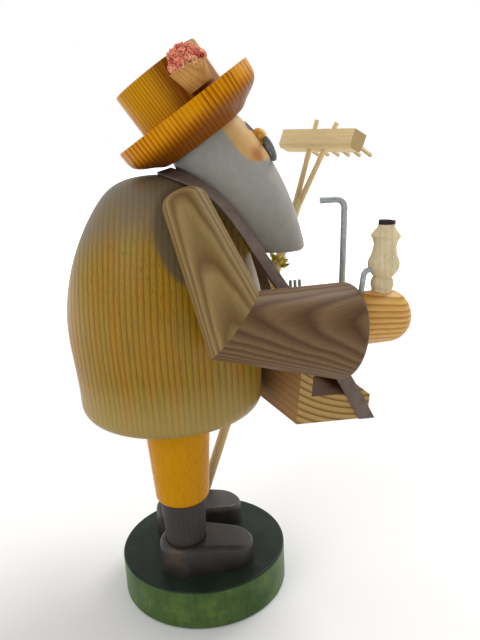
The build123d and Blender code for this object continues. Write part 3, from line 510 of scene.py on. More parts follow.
# %% Nose bead
nose_finish = wood(
    "flesh_bead",
    tone(240, 182, 92),
    tone(216, 156, 70),
    pith=Vector((40, -30, 200)) * MM,
    way=FACE_AHEAD,
    pitch=1.6 * MM,
    gloss=(0.26, 0.36),
    relief=0.05,
)
dress(nose_finish[0], "nose")

# %% [markdown]
# ## Hat
# The hat is turned from wood with bold rings that lie across the head, so stripes run up the brim's edge and
# the crown. The stain is a golden orange, and the late wood takes it up as a dark red-brown. The brim's lower
# edge is painted darker as shade, and a dark streak crosses the crown. Both are laid over the rings as soft
# masks in the hat's leaning frame, so they turn with the hat and not with the room.

# %% Hat brim in orange stain
HAT_GRAIN = {"way": HAT_UP, "gloss": (0.28, 0.4), "shine": 0.06, "ragged": 0.3}
PLAIN_RISE = (-7.5 * MM, -3.0 * MM)
PLAIN_FRONT = (24 * MM, 8 * MM)
LOWER_EDGE_SHADE_DROP = (-3.6 * MM, -10.5 * MM)
material, tree, shader, colour = wood(
    "orange_brim_stain",
    tone(206, 134, 0),
    tone(124, 58, 2),
    pith=on_head(0, -170),
    pitch=1.8 * MM,
    wobble=6.0,
    late=(0.4, 0.97),
    relief=0.1,
    **HAT_GRAIN,
)
laid = place_in(tree, BRIM_TOP, HEAD_TURN)
rise = along(tree, laid, "Z")
# Towards the top the stripes are fainter, here more and there less, but they stay strong at the back
patchy = fade(tree, fibres(tree, HAT_UP, 7 * MM, 20 * MM), 0.38, 0.62)
plain = times(tree, fade(tree, rise, *PLAIN_RISE), patchy)
plain = times(tree, plain, fade(tree, along(tree, laid, "Y"), *PLAIN_FRONT))
colour = cover(tree, plain, 0.6, colour, tone(206, 140, 0))
# Painted shade: the brim's lower edge is coloured dark red-brown
lower_edge_shade = fade(tree, rise, *LOWER_EDGE_SHADE_DROP)
recolour(tree, shader, cover(tree, lower_edge_shade, 0.8, colour, tone(100, 46, 8)))
dress(material, "hat_brim")

# %% Hat crown with a dark streak
DARK_STREAK_BACK = (8 * MM, -2 * MM)
DARK_STREAK_FRONT = (-19 * MM, -14 * MM)
material, tree, shader, colour = wood(
    "orange_crown_stain",
    tone(190, 136, 2),
    tone(154, 96, 2),
    pith=on_head(0, -190, 20),
    pitch=1.3 * MM,
    wobble=5.0,
    late=(0.3, 0.95),
    relief=0.08,
    **HAT_GRAIN,
)
lengthways = along(tree, place_in(tree, BRIM_TOP, HEAD_TURN), "Y")
# A dark streak crosses the crown near the cup
streak = times(tree, fade(tree, lengthways, *DARK_STREAK_BACK), fade(tree, lengthways, *DARK_STREAK_FRONT))
streak = times(tree, streak, fade(tree, fibres(tree, HAT_UP, 1.6 * MM, 24 * MM), 0.25, 0.5))
recolour(tree, shader, cover(tree, streak, 0.85, colour, tone(100, 40, 10)))
dress(material, "hat_crown")

# %% [markdown]
# ## Sleeves and hands
# The sleeves are larch in walnut stain. Where the cone of a sleeve only grazes the rings, it cuts long,
# pointed flames out of them. So the pith line is set towards the coat and a little below the arm, and leans
# against the sleeve's own line, which sets the way that the flames point. The hands keep the pale colour of
# the wood under a flesh-toned glaze, with level stripes.

# %% Grain of the arms
SIDES = {"right": -1, "left": 1}


def box_centre(name):
    """Middle of a node's box."""
    low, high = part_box(name)
    return (Vector(low) + Vector(high)) / 2


def lengthwise(start, end):
    """Unit direction from one node's middle to another's."""
    return (box_centre(end) - box_centre(start)).normalized()


FOREARM_WAYS = {word: lengthwise(f"{word}_forearm", f"{word}_hand") for word in SIDES}
SLEEVE_GRAIN = {
    "wobble": 5.0,
    "late": (0.26, 0.86),
    "gloss": (0.38, 0.52),
    "relief": 0.04,
    "stretch": 3.0,
    "ragged": 0.32,
    "edge": 0.12,
}
print("right forearm points", [round(v, 2) for v in FOREARM_WAYS["right"]])

# %% Sleeves in walnut stain
for word, outward in SIDES.items():
    forearm_finish = wood(
        f"{word}_forearm_walnut",
        tone(118, 92, 64),
        tone(88, 62, 43),
        pith=box_centre(f"{word}_forearm") + Vector((-outward * 50, 0, -24)) * MM,
        way=(FOREARM_WAYS[word] - Vector((outward * 0.25, 0, 0))).normalized(),
        pitch=2.0 * MM,
        **SLEEVE_GRAIN,
    )
    dress(forearm_finish[0], f"{word}_forearm")
    upper_way = Vector((outward * 0.46, -0.22, -0.86)).normalized()
    upper_finish = wood(
        f"{word}_upper_arm_walnut",
        tone(140, 117, 73),
        tone(104, 79, 44),
        pith=box_centre(f"{word}_upper_arm") + Vector((-outward * 56, -16, -24)) * MM,
        way=(upper_way - Vector((outward * 0.05, 0, 0))).normalized(),
        pitch=1.9 * MM,
        **SLEEVE_GRAIN,
    )
    dress(upper_finish[0], f"{word}_upper_arm")

# %% Hands in flesh glaze
for word, way in FOREARM_WAYS.items():
    hand_finish = wood(
        f"{word}_hand_glaze",
        tone(212, 166, 95),
        tone(172, 117, 42),
        pith=box_centre(f"{word}_hand") + Vector((20, 10, -170)) * MM,
        way=Vector((way.x, way.y, -0.15)).normalized(),
        pitch=2.1 * MM,
        wobble=4.0,
        late=(0.4, 0.95),
        gloss=(0.28, 0.4),
        relief=0.08,
        stretch=5.0,
    )
    dress(hand_finish[0], f"{word}_hand")

# %% [markdown]
# ## Tray
# The tray is a moulded block of brown wood whose ends show the end grain: bold rings, sawn across. Its long
# sides are plainer, and the trough's inside is painted darker than the planed outside, as shade. One material
# covers the whole block. It knows an end by the way the face looks, and the painted shade inside by its place
# in the tray's own frame.

# %% Frame of the tray
TRAY_TURN = math.radians(13.0)
TRAY_TILT = math.radians(7.4)
TRAY_CORNER = Vector((-33.16, -38.52, 88.1)) * MM
TRAY_WAY = Vector((math.cos(TRAY_TURN), math.sin(TRAY_TURN), 0))
level_forward = Vector((math.sin(TRAY_TURN), -math.cos(TRAY_TURN), 0))
TRAY_FORWARD = level_forward * math.cos(TRAY_TILT) - UP * math.sin(TRAY_TILT)
TRAY_UP = UP * math.cos(TRAY_TILT) + level_forward * math.sin(TRAY_TILT)


def on_tray(lengthways, forward, up):
    """Place measured from the tray's near, rear, lower corner, in millimetres."""
    return TRAY_CORNER + (TRAY_WAY * lengthways + TRAY_FORWARD * forward + TRAY_UP * up) * MM


def reach_along(tree, vector, way):
    """How far a vector reaches along a direction."""
    return add(tree, "ShaderNodeVectorMath", {0: vector, 1: way}, operation="DOT_PRODUCT").outputs["Value"]


def end_grain(tree, way):
    """1 on the faces that cut the grain across, 0 on the long sides."""
    normal = add(tree, "ShaderNodeNewGeometry").outputs["True Normal"]
    return fade(tree, math_node(tree, "ABSOLUTE", reach_along(tree, normal, way)), 0.4, 0.6)


print("tray lies along", [round(v, 2) for v in TRAY_WAY])

# %% Tray in brown stain
TROUGH_BACK = (5.2 * MM, 5.7 * MM)
TROUGH_FRONT = (25.2 * MM, 24.6 * MM)
TROUGH_FLOOR = (11.1 * MM, 11.5 * MM)
material, tree, shader, colour = wood(
    "brown_tray_stain",
    tone(182, 149, 91),
    tone(112, 79, 34),
    pith=on_tray(0, 32.5, 72),
    way=TRAY_WAY,
    pitch=2.7 * MM,
    wobble=1.2,
    late=(0.5, 0.94),
    gloss=(0.4, 0.54),
    relief=0.14,
)
side_colour = blend_colours(tree, 0.75, colour, tone(160, 120, 80))
# Painted shade: the trough's inside is coloured dark brown
from_corner = place_in(tree, TRAY_CORNER)
forward = reach_along(tree, from_corner, TRAY_FORWARD)
trough_shade = times(tree, fade(tree, forward, *TROUGH_BACK), fade(tree, forward, *TROUGH_FRONT))
trough_shade = times(tree, trough_shade, fade(tree, reach_along(tree, from_corner, TRAY_UP), *TROUGH_FLOOR))
side_colour = cover(tree, trough_shade, 0.92, side_colour, tone(70, 46, 28))
recolour(tree, shader, blend_colours(tree, end_grain(tree, TRAY_WAY), side_colour, colour))
dress(material, "tray")

# %% [markdown]
# ## Pipe, rake and cup
# The pipe and the rake stay bare, pale and nearly without figure. The pipe's rim is blackened, which a fade
# with the height gives. The rake's sawn ends are painted darker than its planed sides, as shade. The half cup
# on the hat is of coarser tan wood, with painted shade towards its foot.

# %% Pipe bowl in bare wood
PIPE_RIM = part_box("pipe_bowl")[1][2]
CHAR_EDGE = (PIPE_RIM - 1.9 * MM, PIPE_RIM - 1.5 * MM)
material, tree, shader, colour = wood(
    "bare_pipe_wood",
    tone(214, 197, 160),
    tone(206, 187, 149),
    pith=box_centre("pipe_bowl") + Vector((30, 60, 0)) * MM,
    way=UP,
    pitch=2.2 * MM,
    gloss=(0.4, 0.52),
    relief=0.06,
)
charred = fade(tree, along(tree, here(tree), "Z"), *CHAR_EDGE)
recolour(tree, shader, blend_colours(tree, charred, colour, tone(44, 38, 36)))
dress(material, "pipe_bowl")

# %% Rake in bare wood
RAKE_WAY = Vector((0.0787, -0.3919, 1)).normalized()
tines = [f"rake_tine_{index}" for index in range(1, 7)]
BAR_WAY = lengthwise(tines[0], tines[-1])
for name, way, pieces in (("handle", RAKE_WAY, ["rake_handle", *tines]), ("bar", BAR_WAY, ["rake_bar"])):
    material, tree, shader, colour = wood(
        f"bare_rake_{name}_wood",
        tone(230, 206, 156),
        tone(222, 197, 146),
        pith=box_centre("rake_bar") + Vector((40, 90, 30)) * MM,
        way=way,
        pitch=2.4 * MM,
        gloss=(0.48, 0.6),
        relief=0.05,
    )
    # Painted shade: the sawn ends are coloured darker than the planed sides
    recolour(tree, shader, cover(tree, end_grain(tree, way), 0.8, colour, tone(160, 132, 84)))
    dress(material, *pieces)

# %% Half cup in tan wood
CUP_TURN = math.radians(64.0)
CUP_WAY = FACE_AHEAD * math.cos(CUP_TURN) - Vector((1, 0, 0)) * math.sin(CUP_TURN)
material, tree, shader, colour = wood(
    "tan_cup_wood",
    tone(196, 150, 86),
    tone(178, 131, 70),
    pith=box_centre("hat_cup") + Vector((60, 40, 0)) * MM,
    way=HAT_UP,
    pitch=1.3 * MM,
    gloss=(0.5, 0.64),
    relief=0.1,
    streak_depth=0.24,
)
# Painted shade: the cup is darker towards its foot, where it meets the hat
cup_foot = box_centre("hat_cup") - HAT_UP * 6 * MM - CUP_WAY * 2 * MM
foot_shade = fade(tree, distance_in(tree, cup_foot), 8 * MM, 3 * MM)
recolour(tree, shader, cover(tree, foot_shade, 0.6, colour, tone(118, 76, 36)))
dress(material, "hat_cup")

# %% [markdown]
# ## Wire
# Hook, fork, pipe stem and nail are drawn wire: grey, softly polished, with a faint dull scale. A full metal
# would mirror the white room and look like chrome, so the shader is only partly metal.

# %% Drawn wire
def wire_finish(name, dull, bright, gloss):
    """Softly polished wire with a faint scale."""
    material, tree, shader = start_finish(name, metal=0.4)
    scale = mottling(tree, 700.0, 4.0, 0.7)
    recolour(tree, shader, ramp(tree, scale, ((0.35, dull), (0.65, bright))))
    set_gloss(tree, shader, scale, *gloss)
    return material


drawn_wire = wire_finish("drawn_wire", tone(146, 152, 154), tone(178, 184, 186), (0.36, 0.54))
dress(drawn_wire, "wire_hook", "wire_fork", "pipe_stem", "dish_nail")

# %% [markdown]
# ## Strap
# A band of dark leather hangs round the neck and is glued to both ends of the tray. It is modelled as a flat
# strip through the places where the real one lies, then smoothed, given its thickness and softened at the
# edges. A strip keeps the band's width true all along, which a bevelled curve would not where the band turns.

# %% Helpers for new pieces
def new_object(name, data):
    """Object that holds the data, linked into the scene."""
    made = bpy.data.objects.new(name, data)
    bpy.context.scene.collection.objects.link(made)
    return made


def select_only(*pieces):
    """Selects these pieces alone and makes the first one active."""
    bpy.ops.object.select_all(action="DESELECT")
    for piece in pieces:
        piece.select_set(True)
    bpy.context.view_layer.objects.active = pieces[0]


def apply_modifier(piece, kind, **settings):
    """Adds a modifier with settings and applies it."""
    select_only(piece)
    made = piece.modifiers.new(kind.lower(), kind)
    for key, value in settings.items():
        setattr(made, key, value)
    bpy.ops.object.modifier_apply(modifier=made.name)


def settle(piece, body, slot, material, *stands_for):
    """Finishes a new piece: its place goes into its mesh, and it rides, replaces and wears what it should."""
    select_only(piece)
    bpy.ops.object.transform_apply(location=True, rotation=True, scale=True)
    piece.data.materials.clear()
    piece.data.materials.append(material)
    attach(piece, body)
    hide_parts(*stands_for)
    print(piece.name, "has", len(piece.data.polygons), "faces and stands for", ", ".join(stands_for))


print("piece helpers:", ", ".join(helper.__name__ for helper in (select_only, apply_modifier, settle)))

# %% Route of the strap
COAT_TOP = 189.5
TRAY_LENGTH = 62.0
STRAP_LIFT = 0.6
STRAP_NAPE = COAT_AXIS + Vector((0, -2.6, COAT_TOP + 1.6)) * MM
STRAP_NAPE_FACING = Vector((0, 0.2, 1))
# Each place beside the neck: outwards, ahead of the coat's axis and above its top, and the way the band faces
STRAP_ROUTE = (
    ((12.0, 6.0, 0.6), (-0.3, 0.2, 1)),
    ((18.5, 16.6, -4.0), (-0.5, -0.35, 0.8)),
    ((20.5, 25.6, -12.6), (-0.62, -0.55, 0.55)),
    ((20.0, 35.2, -28.0), (-0.7, -0.62, 0.3)),
    ((18.3, 45.0, -44.2), (-0.75, -0.6, 0.2)),
)
STRAP_KNEE_IN = Vector((2.0, 0, 0)) * MM
STRAP_KNEE_FACING = (-0.9, -0.4, 0.12)
# The two places on the tray's end, forward and up from its corner
STRAP_ENDS = ((19.9, 20.1), (33.8, 0.0))


def strap_half(side, lengthways):
    """Places and facings of one half of the strap, from beside the neck to the tray's end."""
    half = []
    for (across, ahead, rise), (out, forth, up) in STRAP_ROUTE:
        place = COAT_AXIS + Vector((side * across, -ahead, COAT_TOP + rise)) * MM
        half.append((place, Vector((-side * out, forth, up))))
    ends = [(on_tray(lengthways, forward, up), TRAY_WAY * side) for forward, up in STRAP_ENDS]
    out, forth, up = STRAP_KNEE_FACING
    knee = (half[-1][0] + ends[0][0]) / 2 - STRAP_KNEE_IN * side
    return half + [(knee, Vector((-side * out, forth, up)))] + ends


near_half = strap_half(-1, -STRAP_LIFT)
far_half = strap_half(1, TRAY_LENGTH + STRAP_LIFT)
strap_path = near_half[::-1] + [(STRAP_NAPE, STRAP_NAPE_FACING)] + far_half
print("the strap passes", len(strap_path), "places")

# %% Strap as a strip with thickness
STRAP_WIDTH = 6.4 * MM
STRAP_THICKNESS = 1.0 * MM
STRAP_ROUNDING = 0.22 * MM
SMOOTH_ANGLE = math.radians(40)
last = len(strap_path) - 1
points = []
for index, (place, facing) in enumerate(strap_path):
    before = strap_path[max(index - 1, 0)][0]
    after = strap_path[min(index + 1, last)][0]
    sideways = (after - before).cross(facing).normalized()
    if index in (0, last):
        # The band's end is cut level with the tray's underside, so there it is wider than the band
        sideways = TRAY_FORWARD / sideways.dot(TRAY_FORWARD)
    sideways *= STRAP_WIDTH / 2
    points += [place - sideways, place + sideways]
faces = [(2 * i, 2 * i + 1, 2 * i + 3, 2 * i + 2) for i in range(last)]
mesh = bpy.data.meshes.new("leather_strap")
mesh.from_pydata(points, [], faces)
strap = new_object("leather_strap", mesh)
apply_modifier(strap, "SUBSURF", levels=3, render_levels=3, boundary_smooth="PRESERVE_CORNERS")
apply_modifier(strap, "SOLIDIFY", thickness=STRAP_THICKNESS, offset=0.0)
apply_modifier(strap, "BEVEL", width=STRAP_ROUNDING, segments=2, limit_method="ANGLE")
bpy.ops.object.shade_smooth_by_angle(angle=SMOOTH_ANGLE)
print("the strip has", len(strap.data.polygons), "faces")

# %% Leather finish
material, tree, shader = start_finish("dark_leather", shine=0.2)
scuffs = mottling(tree, 160.0, 5.0, 0.65)
pores = add(tree, "ShaderNodeTexVoronoi", {"Vector": here(tree), "Scale": 1500.0}).outputs["Distance"]
recolour(tree, shader, ramp(tree, scuffs, ((0.35, tone(98, 83, 74)), (0.65, tone(118, 103, 92)))))
set_gloss(tree, shader, scuffs, 0.46, 0.66)
set_relief(tree, shader, pores, 0.25, 0.12 * MM)
settle(strap, "figure", "strap_leather", material, "strap")

# %% [markdown]
# ## Spectacles
# The pedlar looks over wire spectacles that rest on the beard, under the nose bead. The two rings are of
# flattened wire, deeper than it is wide, and a thin wire makes the bridge and the stem that comes down from
# the forehead. A ring starts as a torus and is drawn out along its axis, because a bevelled circle would keep
# a round section. The thin wires follow a curve, which carries their round section along.

# %% Helpers for copies and wire
THIN_WIRE = 0.4 * MM


def stretch_points(value):
    """Resizes the whole active piece in edit mode."""
    bpy.ops.object.mode_set(mode="EDIT")
    bpy.ops.mesh.select_all(action="SELECT")
    bpy.ops.transform.resize(value=value)
    bpy.ops.object.mode_set(mode="OBJECT")


def join_as(name, *pieces):
    """Joins pieces into the first one and names it."""
    select_only(*pieces)
    bpy.ops.object.join()
    joined = bpy.context.active_object
    joined.name = name
    joined.data.name = name
    return joined


def scatter(template, name, places):
    """Copies a template to each placement matrix and joins the copies to one piece."""
    copies = []
    for placement in places:
        copy = template.copy()
        copy.data = template.data.copy()
        copy.matrix_world = placement
        bpy.context.scene.collection.objects.link(copy)
        copies.append(copy)
    bpy.data.objects.remove(template)
    return join_as(name, *copies)


def bent_wire(name, route):
    """Thin round wire along a smooth route, as a mesh."""
    curve = bpy.data.curves.new(name, "CURVE")
    curve.dimensions = "3D"
    curve.bevel_depth = THIN_WIRE
    curve.use_fill_caps = True
    spline = curve.splines.new("NURBS")
    spline.points.add(len(route) - 1)
    for point, place in zip(spline.points, route):
        point.co = (*place, 1)
    spline.order_u = 3
    spline.use_endpoint_u = True
    wire = new_object(name, curve)
    select_only(wire)
    bpy.ops.object.convert(target="MESH")
    return wire


print("thin wire is", round(2 * THIN_WIRE / MM, 1), "mm across")

# %% Rings of the spectacles
LENS_LEAN = HAT_LEAN - math.radians(12.5)
LENS_RADIUS = 4.5 * MM
LENS_SPREAD = 6.7 * MM
LENS_DEPTH, LENS_AHEAD = 33.4, 18.3
RING_WIRE = 0.8 * MM
RING_FLATTENING = 1.2
lens_ahead = Vector((0, -math.cos(LENS_LEAN), math.sin(LENS_LEAN)))
lens_up = Vector((0, math.sin(LENS_LEAN), math.cos(LENS_LEAN)))
lens_middle = on_head(LENS_DEPTH, LENS_AHEAD)
bpy.ops.object.select_all(action="DESELECT")
bpy.ops.mesh.primitive_torus_add(
    major_radius=LENS_RADIUS, minor_radius=RING_WIRE, major_segments=56, minor_segments=16
)
ring = bpy.context.active_object
stretch_points((1, 1, RING_FLATTENING))
ring_turn = lens_ahead.to_track_quat("Z", "Y")
places = []
for side in (-1, 1):
    lens = lens_middle + Vector((side * LENS_SPREAD, 0, 0))
    places.append(Matrix.LocRotScale(lens, ring_turn, Vector((1, 1, 1))))
rings = scatter(ring, "wire_spectacles", places)
print("rings stand", round(2 * LENS_SPREAD / MM, 1), "mm apart")

# %% Bridge and stem
BRIDGE_ARCH = 1.6 * MM
# Depth under the brim's top and distance ahead, from the forehead down to the nose bead
STEM_ROUTE = ((18.8, 16.2), (19.6, 17.3), (22.0, 17.6), (25.6, 18.2))
bridge_half = Vector((LENS_SPREAD - LENS_RADIUS, 0, 0))
bridge_top = lens_middle + lens_up * BRIDGE_ARCH
bridge_route = (
    lens_middle - bridge_half,
    bridge_top - bridge_half * 0.5,
    bridge_top + bridge_half * 0.5,
    lens_middle + bridge_half,
)
bridge = bent_wire("spectacle_bridge", bridge_route)
stem = bent_wire("spectacle_stem", [on_head(depth, ahead) for depth, ahead in STEM_ROUTE])
spectacles = join_as("wire_spectacles", rings, bridge, stem)
bpy.ops.object.shade_smooth_by_angle(angle=SMOOTH_ANGLE)
# Painted shade: the spectacle wire is coloured darker than the other wire
shaded_wire = wire_finish("shaded_spectacle_wire", tone(92, 94, 92), tone(124, 126, 122), (0.4, 0.58))
settle(spectacles, "figure", "steel_wire", shaded_wire, "glasses")

# %% [markdown]
# ## Blossom
# A tuft of dried petals is glued into the half cup on the hat. A lump with a noisy surface would look like
# clay, so it is made of petals. One petal is a small cupped disc with a ragged rim. Copies are turned over a
# dome at seeded random angles, so that they crowd and overlap as dried ones do, and the crown is left free.

# %% One petal
PETAL_RADIUS = 2.1 * MM
PETAL_CORNERS = 10
PETAL_CUPPING = 0.8 * MM
PETAL_THICKNESS = 0.22 * MM
RIM_DRAWN_IN = 0.28
RIM_RAISED = 0.35 * MM


def move_points(piece, chosen, shift):
    """Moves the points that a test chooses, in edit mode."""
    bpy.ops.object.mode_set(mode="EDIT")
    bpy.ops.mesh.select_all(action="DESELECT")
    bpy.ops.object.mode_set(mode="OBJECT")
    for point in piece.data.vertices:
        point.select = chosen(point.co)
    bpy.ops.object.mode_set(mode="EDIT")
    bpy.ops.transform.translate(value=shift)
    bpy.ops.object.mode_set(mode="OBJECT")


bpy.ops.object.select_all(action="DESELECT")
bpy.ops.mesh.primitive_circle_add(vertices=PETAL_CORNERS, radius=PETAL_RADIUS, fill_type="TRIFAN")
petal = bpy.context.active_object
move_points(petal, lambda co: co.length < PETAL_RADIUS / 2, (0, 0, -PETAL_CUPPING))
# Every other corner of the rim goes in and up
for corner in range(0, PETAL_CORNERS, 2):
    rim = Vector((0, PETAL_RADIUS, 0))
    rim.rotate(Matrix.Rotation(corner * math.tau / PETAL_CORNERS, 3, "Z"))
    shift = UP * RIM_RAISED - rim * RIM_DRAWN_IN
    move_points(petal, lambda co: (co - rim).length < 0.1 * MM, tuple(shift))
apply_modifier(petal, "SOLIDIFY", thickness=PETAL_THICKNESS)
print("one petal has", len(petal.data.polygons), "faces")

# %% Petals over the cup
CROWN_RADIUS = 19.0 * MM
CROWN_HEIGHT = 17.3 * MM
ROOM_BESIDE = 0.9 * MM
ROOM_ABOVE = 0.6 * MM
CUP_HEIGHT = 9.8 * MM
CUP_RIM_TILT = math.radians(10.0)
BLOSSOM_RADIUS = 7.6 * MM
PETAL_COUNT = 180
blossom_foot = BRIM_TOP + CUP_WAY * CROWN_RADIUS + HAT_UP * CUP_HEIGHT
cup_side = CUP_WAY.cross(HAT_UP)
rim_up = HAT_UP * math.cos(CUP_RIM_TILT) - cup_side * math.sin(CUP_RIM_TILT)
rim_side = cup_side * math.cos(CUP_RIM_TILT) + HAT_UP * math.sin(CUP_RIM_TILT)
draw = random.Random(7)
places = []
while len(places) < PETAL_COUNT:
    around = draw.uniform(0, math.tau)
    rise = draw.uniform(0.1, 1.0)
    level = math.sqrt(1 - rise * rise)
    out = CUP_WAY * (math.cos(around) * level) + rim_side * (math.sin(around) * level) + rim_up * rise
    place = blossom_foot + out * BLOSSOM_RADIUS * draw.uniform(0.82, 1.02)
    local = place - BRIM_TOP
    height = local.dot(HAT_UP)
    beside = (local - HAT_UP * height).length
    if beside < CROWN_RADIUS + ROOM_BESIDE and height < CROWN_HEIGHT + ROOM_ABOVE:
        continue
    lean = Vector((draw.gauss(0, 0.5), draw.gauss(0, 0.5), draw.gauss(0, 0.5)))
    turn = (out + lean).to_track_quat("Z", "Y") @ Quaternion((0, 0, 1), draw.uniform(0, math.tau))
    size = draw.uniform(0.6, 1.15)
    places.append(Matrix.LocRotScale(place, turn, Vector((size, size * draw.uniform(0.6, 1.0), size))))
blossom = scatter(petal, "dried_blossom", places)
print("petals set:", len(places))


# %% Dried petal finish
def patchwork(tree, scale, channel):
    """One random value for each small cell of space, so that neighbouring leaves differ."""
    cells = add(tree, "ShaderNodeTexVoronoi", {"Vector": here(tree), "Scale": scale})
    return add(tree, "ShaderNodeSeparateColor", {"Color": cells.outputs["Color"]}).outputs[channel]


CREASE_DEPTH = 0.15 * MM
PETAL_TONES = (
    (0.0, tone(192, 80, 68)),
    (0.25, tone(226, 122, 102)),
    (0.5, tone(242, 184, 142)),
    (0.75, tone(214, 102, 88)),
    (1.0, tone(246, 208, 164)),
)
material, tree, shader = start_finish("dried_petals")
veins = mottling(tree, 1400.0, 2.0)
petal_tone = ramp(tree, patchwork(tree, 420.0, "Red"), PETAL_TONES)
shade = ramp(tree, veins, ((0.3, (0.84, 0.8, 0.78, 1)), (0.7, (1.06, 1.04, 1.02, 1))))
recolour(tree, shader, blend_colours(tree, 1.0, petal_tone, shade, "MULTIPLY"))
set_gloss(tree, shader, veins, 0.7, 0.9)
set_relief(tree, shader, veins, 0.25, CREASE_DEPTH)
shader.inputs["Subsurface Weight"].default_value = 0.15
shader.inputs["Subsurface Scale"].default_value = 0.4 * MM
settle(blossom, "figure", "blossom", material, "hat_blossom")

# %% [markdown]
# ## Herb sprig
# A little bunch of dried herb is wound round the rake's handle above the hand. It is made as the blossom is:
# one blunt leaf, a stretched ball with a bent tip, is copied round the handle at seeded random angles. Two
# larger leaves stick out of the bunch, one forward with a dark tip, and one up and back.

# %% One leaf
LEAF_RADIUS = 1.0 * MM
LEAF_SHAPE = (0.85, 0.5, 2.1)
LEAF_TIP = 1.2 * MM
TIP_BEND = (0.5 * MM, 0, 0.2 * MM)
bpy.ops.object.select_all(action="DESELECT")
bpy.ops.mesh.primitive_ico_sphere_add(subdivisions=1, radius=LEAF_RADIUS)
leaf = bpy.context.active_object
stretch_points(LEAF_SHAPE)
move_points(leaf, lambda co: co.z > LEAF_TIP, TIP_BEND)
print("one leaf has", len(leaf.data.polygons), "faces")

# %% Leaves round the handle
HERB_REACH = 4.0 * MM
LEAF_COUNT = 70
herb_middle = box_centre("herb_sprig") - RAKE_WAY * 1.6 * MM
rake_side = RAKE_WAY.orthogonal().normalized()
draw = random.Random(11)
places = []
for index in range(LEAF_COUNT):
    around = draw.uniform(0, math.tau)
    out = Quaternion(RAKE_WAY, around) @ rake_side
    place = herb_middle + out * HERB_REACH * draw.uniform(0.62, 1.0) + RAKE_WAY * draw.uniform(-2.0, 2.0) * MM
    way = (out + RAKE_WAY * draw.gauss(0.1, 0.8) + out.cross(RAKE_WAY) * draw.gauss(0, 0.7)).normalized()
    turn = way.to_track_quat("Z", "Y") @ Quaternion((0, 0, 1), draw.uniform(0, math.tau))
    size = draw.uniform(0.55, 1.0)
    places.append(Matrix.LocRotScale(place, turn, Vector((size, size, size))))
tip_way = Vector((-0.2, -1, 0.12)).normalized()
tip_place = herb_middle + tip_way * 3.6 * MM - RAKE_WAY * 3.0 * MM
back_way = Vector((-0.2, 0.66, 0.72)).normalized()
back_place = herb_middle + back_way * 5.2 * MM
for place, way, size in ((tip_place, tip_way, (1.3, 1.6, 1.45)), (back_place, back_way, (1.2, 1.4, 1.4))):
    places.append(Matrix.LocRotScale(place, way.to_track_quat("Z", "X"), Vector(size)))
herb = scatter(leaf, "herb_bunch", places)
print("leaves set:", len(places))

# %% Dried herb finish
HERB_TONES = (
    (0.0, tone(146, 138, 40)),
    (0.3, tone(194, 182, 62)),
    (0.7, tone(220, 208, 96)),
    (1.0, tone(228, 190, 96)),
)
DARK_TIP_REACH = (2.6 * MM, 1.0 * MM)
material, tree, shader = start_finish("dried_herb")
herb_tone = ramp(tree, patchwork(tree, 500.0, "Green"), HERB_TONES)
dark_tip = fade(tree, distance_in(tree, tip_place + tip_way * 2.2 * MM), *DARK_TIP_REACH)
recolour(tree, shader, blend_colours(tree, dark_tip, herb_tone, tone(58, 66, 34)))
veins = mottling(tree, 1100.0, 3.0)
set_gloss(tree, shader, veins, 0.65, 0.85)
set_relief(tree, shader, veins, 0.25, CREASE_DEPTH)
settle(herb, "figure", "herb_green", material, "herb_sprig")

# %% [markdown]
# ## Camera and studio
# The camera stands where the photographer stood: on the figure's right side, a little above the belly,
# looking slightly down. The floor and the room are white. The photographer's side of the room is dimmer than
# the rest, because light from all sides would wash out the stains, and two wide lamps give soft shadows.

# %% Camera
CAMERA_PLACE = Vector((-267.5, 21.0, 200.6)) * MM
CAMERA_HEADING = math.radians(-9.28)
CAMERA_DROP = math.radians(15.53)
CAMERA_ROLL = math.radians(-2.86)
CAMERA_LENS = 36.0
CAMERA_SENSOR = 36.0
CAMERA_NEAREST = 0.01
level_view = Vector((math.cos(CAMERA_HEADING), math.sin(CAMERA_HEADING), 0))
view_way = level_view * math.cos(CAMERA_DROP) - UP * math.sin(CAMERA_DROP)
camera = new_object("studio_camera", bpy.data.cameras.new("studio_camera"))
camera.rotation_mode = "QUATERNION"
camera.location = CAMERA_PLACE
camera.rotation_quaternion = view_way.to_track_quat("-Z", "Y") @ Quaternion((0, 0, 1), CAMERA_ROLL)
camera.data.lens = CAMERA_LENS
camera.data.sensor_width = CAMERA_SENSOR
camera.data.clip_start = CAMERA_NEAREST
bpy.context.scene.camera = camera
print("camera looks along", [round(v, 2) for v in view_way])

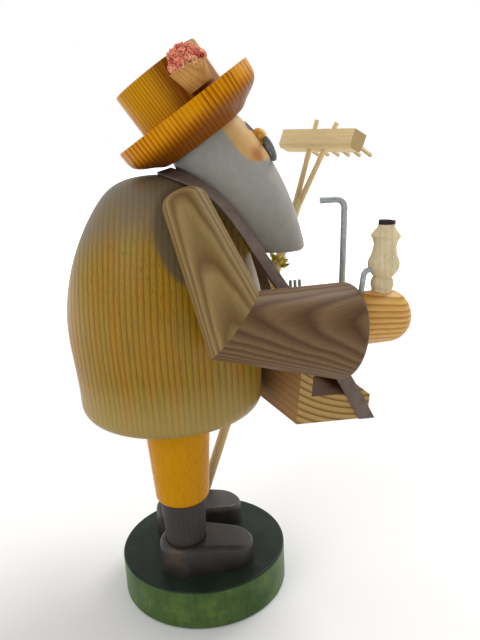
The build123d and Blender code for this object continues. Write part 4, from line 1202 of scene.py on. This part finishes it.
# %% Floor
FLOOR_RADIUS = 6.0
FLOOR_PLACE = (0, 0, -0.2 * MM)
FLOOR_GLOW = (0.3, 0.9)
bpy.ops.object.select_all(action="DESELECT")
bpy.ops.mesh.primitive_circle_add(vertices=64, radius=FLOOR_RADIUS, fill_type="NGON", location=FLOOR_PLACE)
floor = bpy.context.active_object
floor.name = "studio_floor"
material, tree, shader = start_finish("studio_white", shine=0.0)
shader.inputs["Base Color"].default_value = (0.86, 0.86, 0.86, 1)
shader.inputs["Roughness"].default_value = 0.8
# Far out the floor glows as white as the surround, so that no horizon shows
shader.inputs["Emission Color"].default_value = (1, 1, 1, 1)
far_out = fade(tree, distance_in(tree, (0, 0, 0)), *FLOOR_GLOW)
tree.links.new(far_out, shader.inputs["Emission Strength"])
floor.data.materials.append(material)
print("floor reaches", FLOOR_RADIUS, "m")

# %% Surround
SURROUND_BRIGHT = 0.85
SURROUND_DIM = 0.24
world = bpy.data.worlds.new("studio_surround")
world.use_nodes = True
tree = world.node_tree
sideways = along(tree, add(tree, "ShaderNodeTexCoord").outputs["Generated"], "X")
room = add(
    tree,
    "ShaderNodeMapRange",
    {
        "Value": sideways,
        "From Min": -0.95,
        "From Max": 0.15,
        "To Min": SURROUND_DIM,
        "To Max": SURROUND_BRIGHT,
    },
)
# The camera itself sees plain white all round
seen = add(tree, "ShaderNodeLightPath").outputs["Is Camera Ray"]
strength = math_node(tree, "MAXIMUM", room.outputs["Result"], seen)
background = tree.nodes["Background"]
background.inputs["Color"].default_value = (1.0, 1.0, 1.0, 1)
tree.links.new(strength, background.inputs["Strength"])
bpy.context.scene.world = world
bpy.context.scene.view_settings.view_transform = "Standard"
print("surround from", SURROUND_DIM, "to", SURROUND_BRIGHT)


# %% Lamps
def lamp(name, place, aim, size, power):
    """Wide soft lamp at a place, turned to an aim."""
    light = bpy.data.lights.new(name, "AREA")
    light.shape = "DISK"
    light.size = size
    light.energy = power
    held = new_object(name, light)
    held.location = place
    held.rotation_euler = (Vector(aim) - Vector(place)).to_track_quat("-Z", "Y").to_euler()
    print(name, "at", place, "with", power, "W")


lamp("key_lamp", place=(0.38, -0.6, 0.95), aim=(0, 0, 0.1), size=0.6, power=7.5)
lamp("fill_lamp", place=(-0.6, 0.75, 0.75), aim=(0, 0, 0.12), size=0.8, power=3.6)
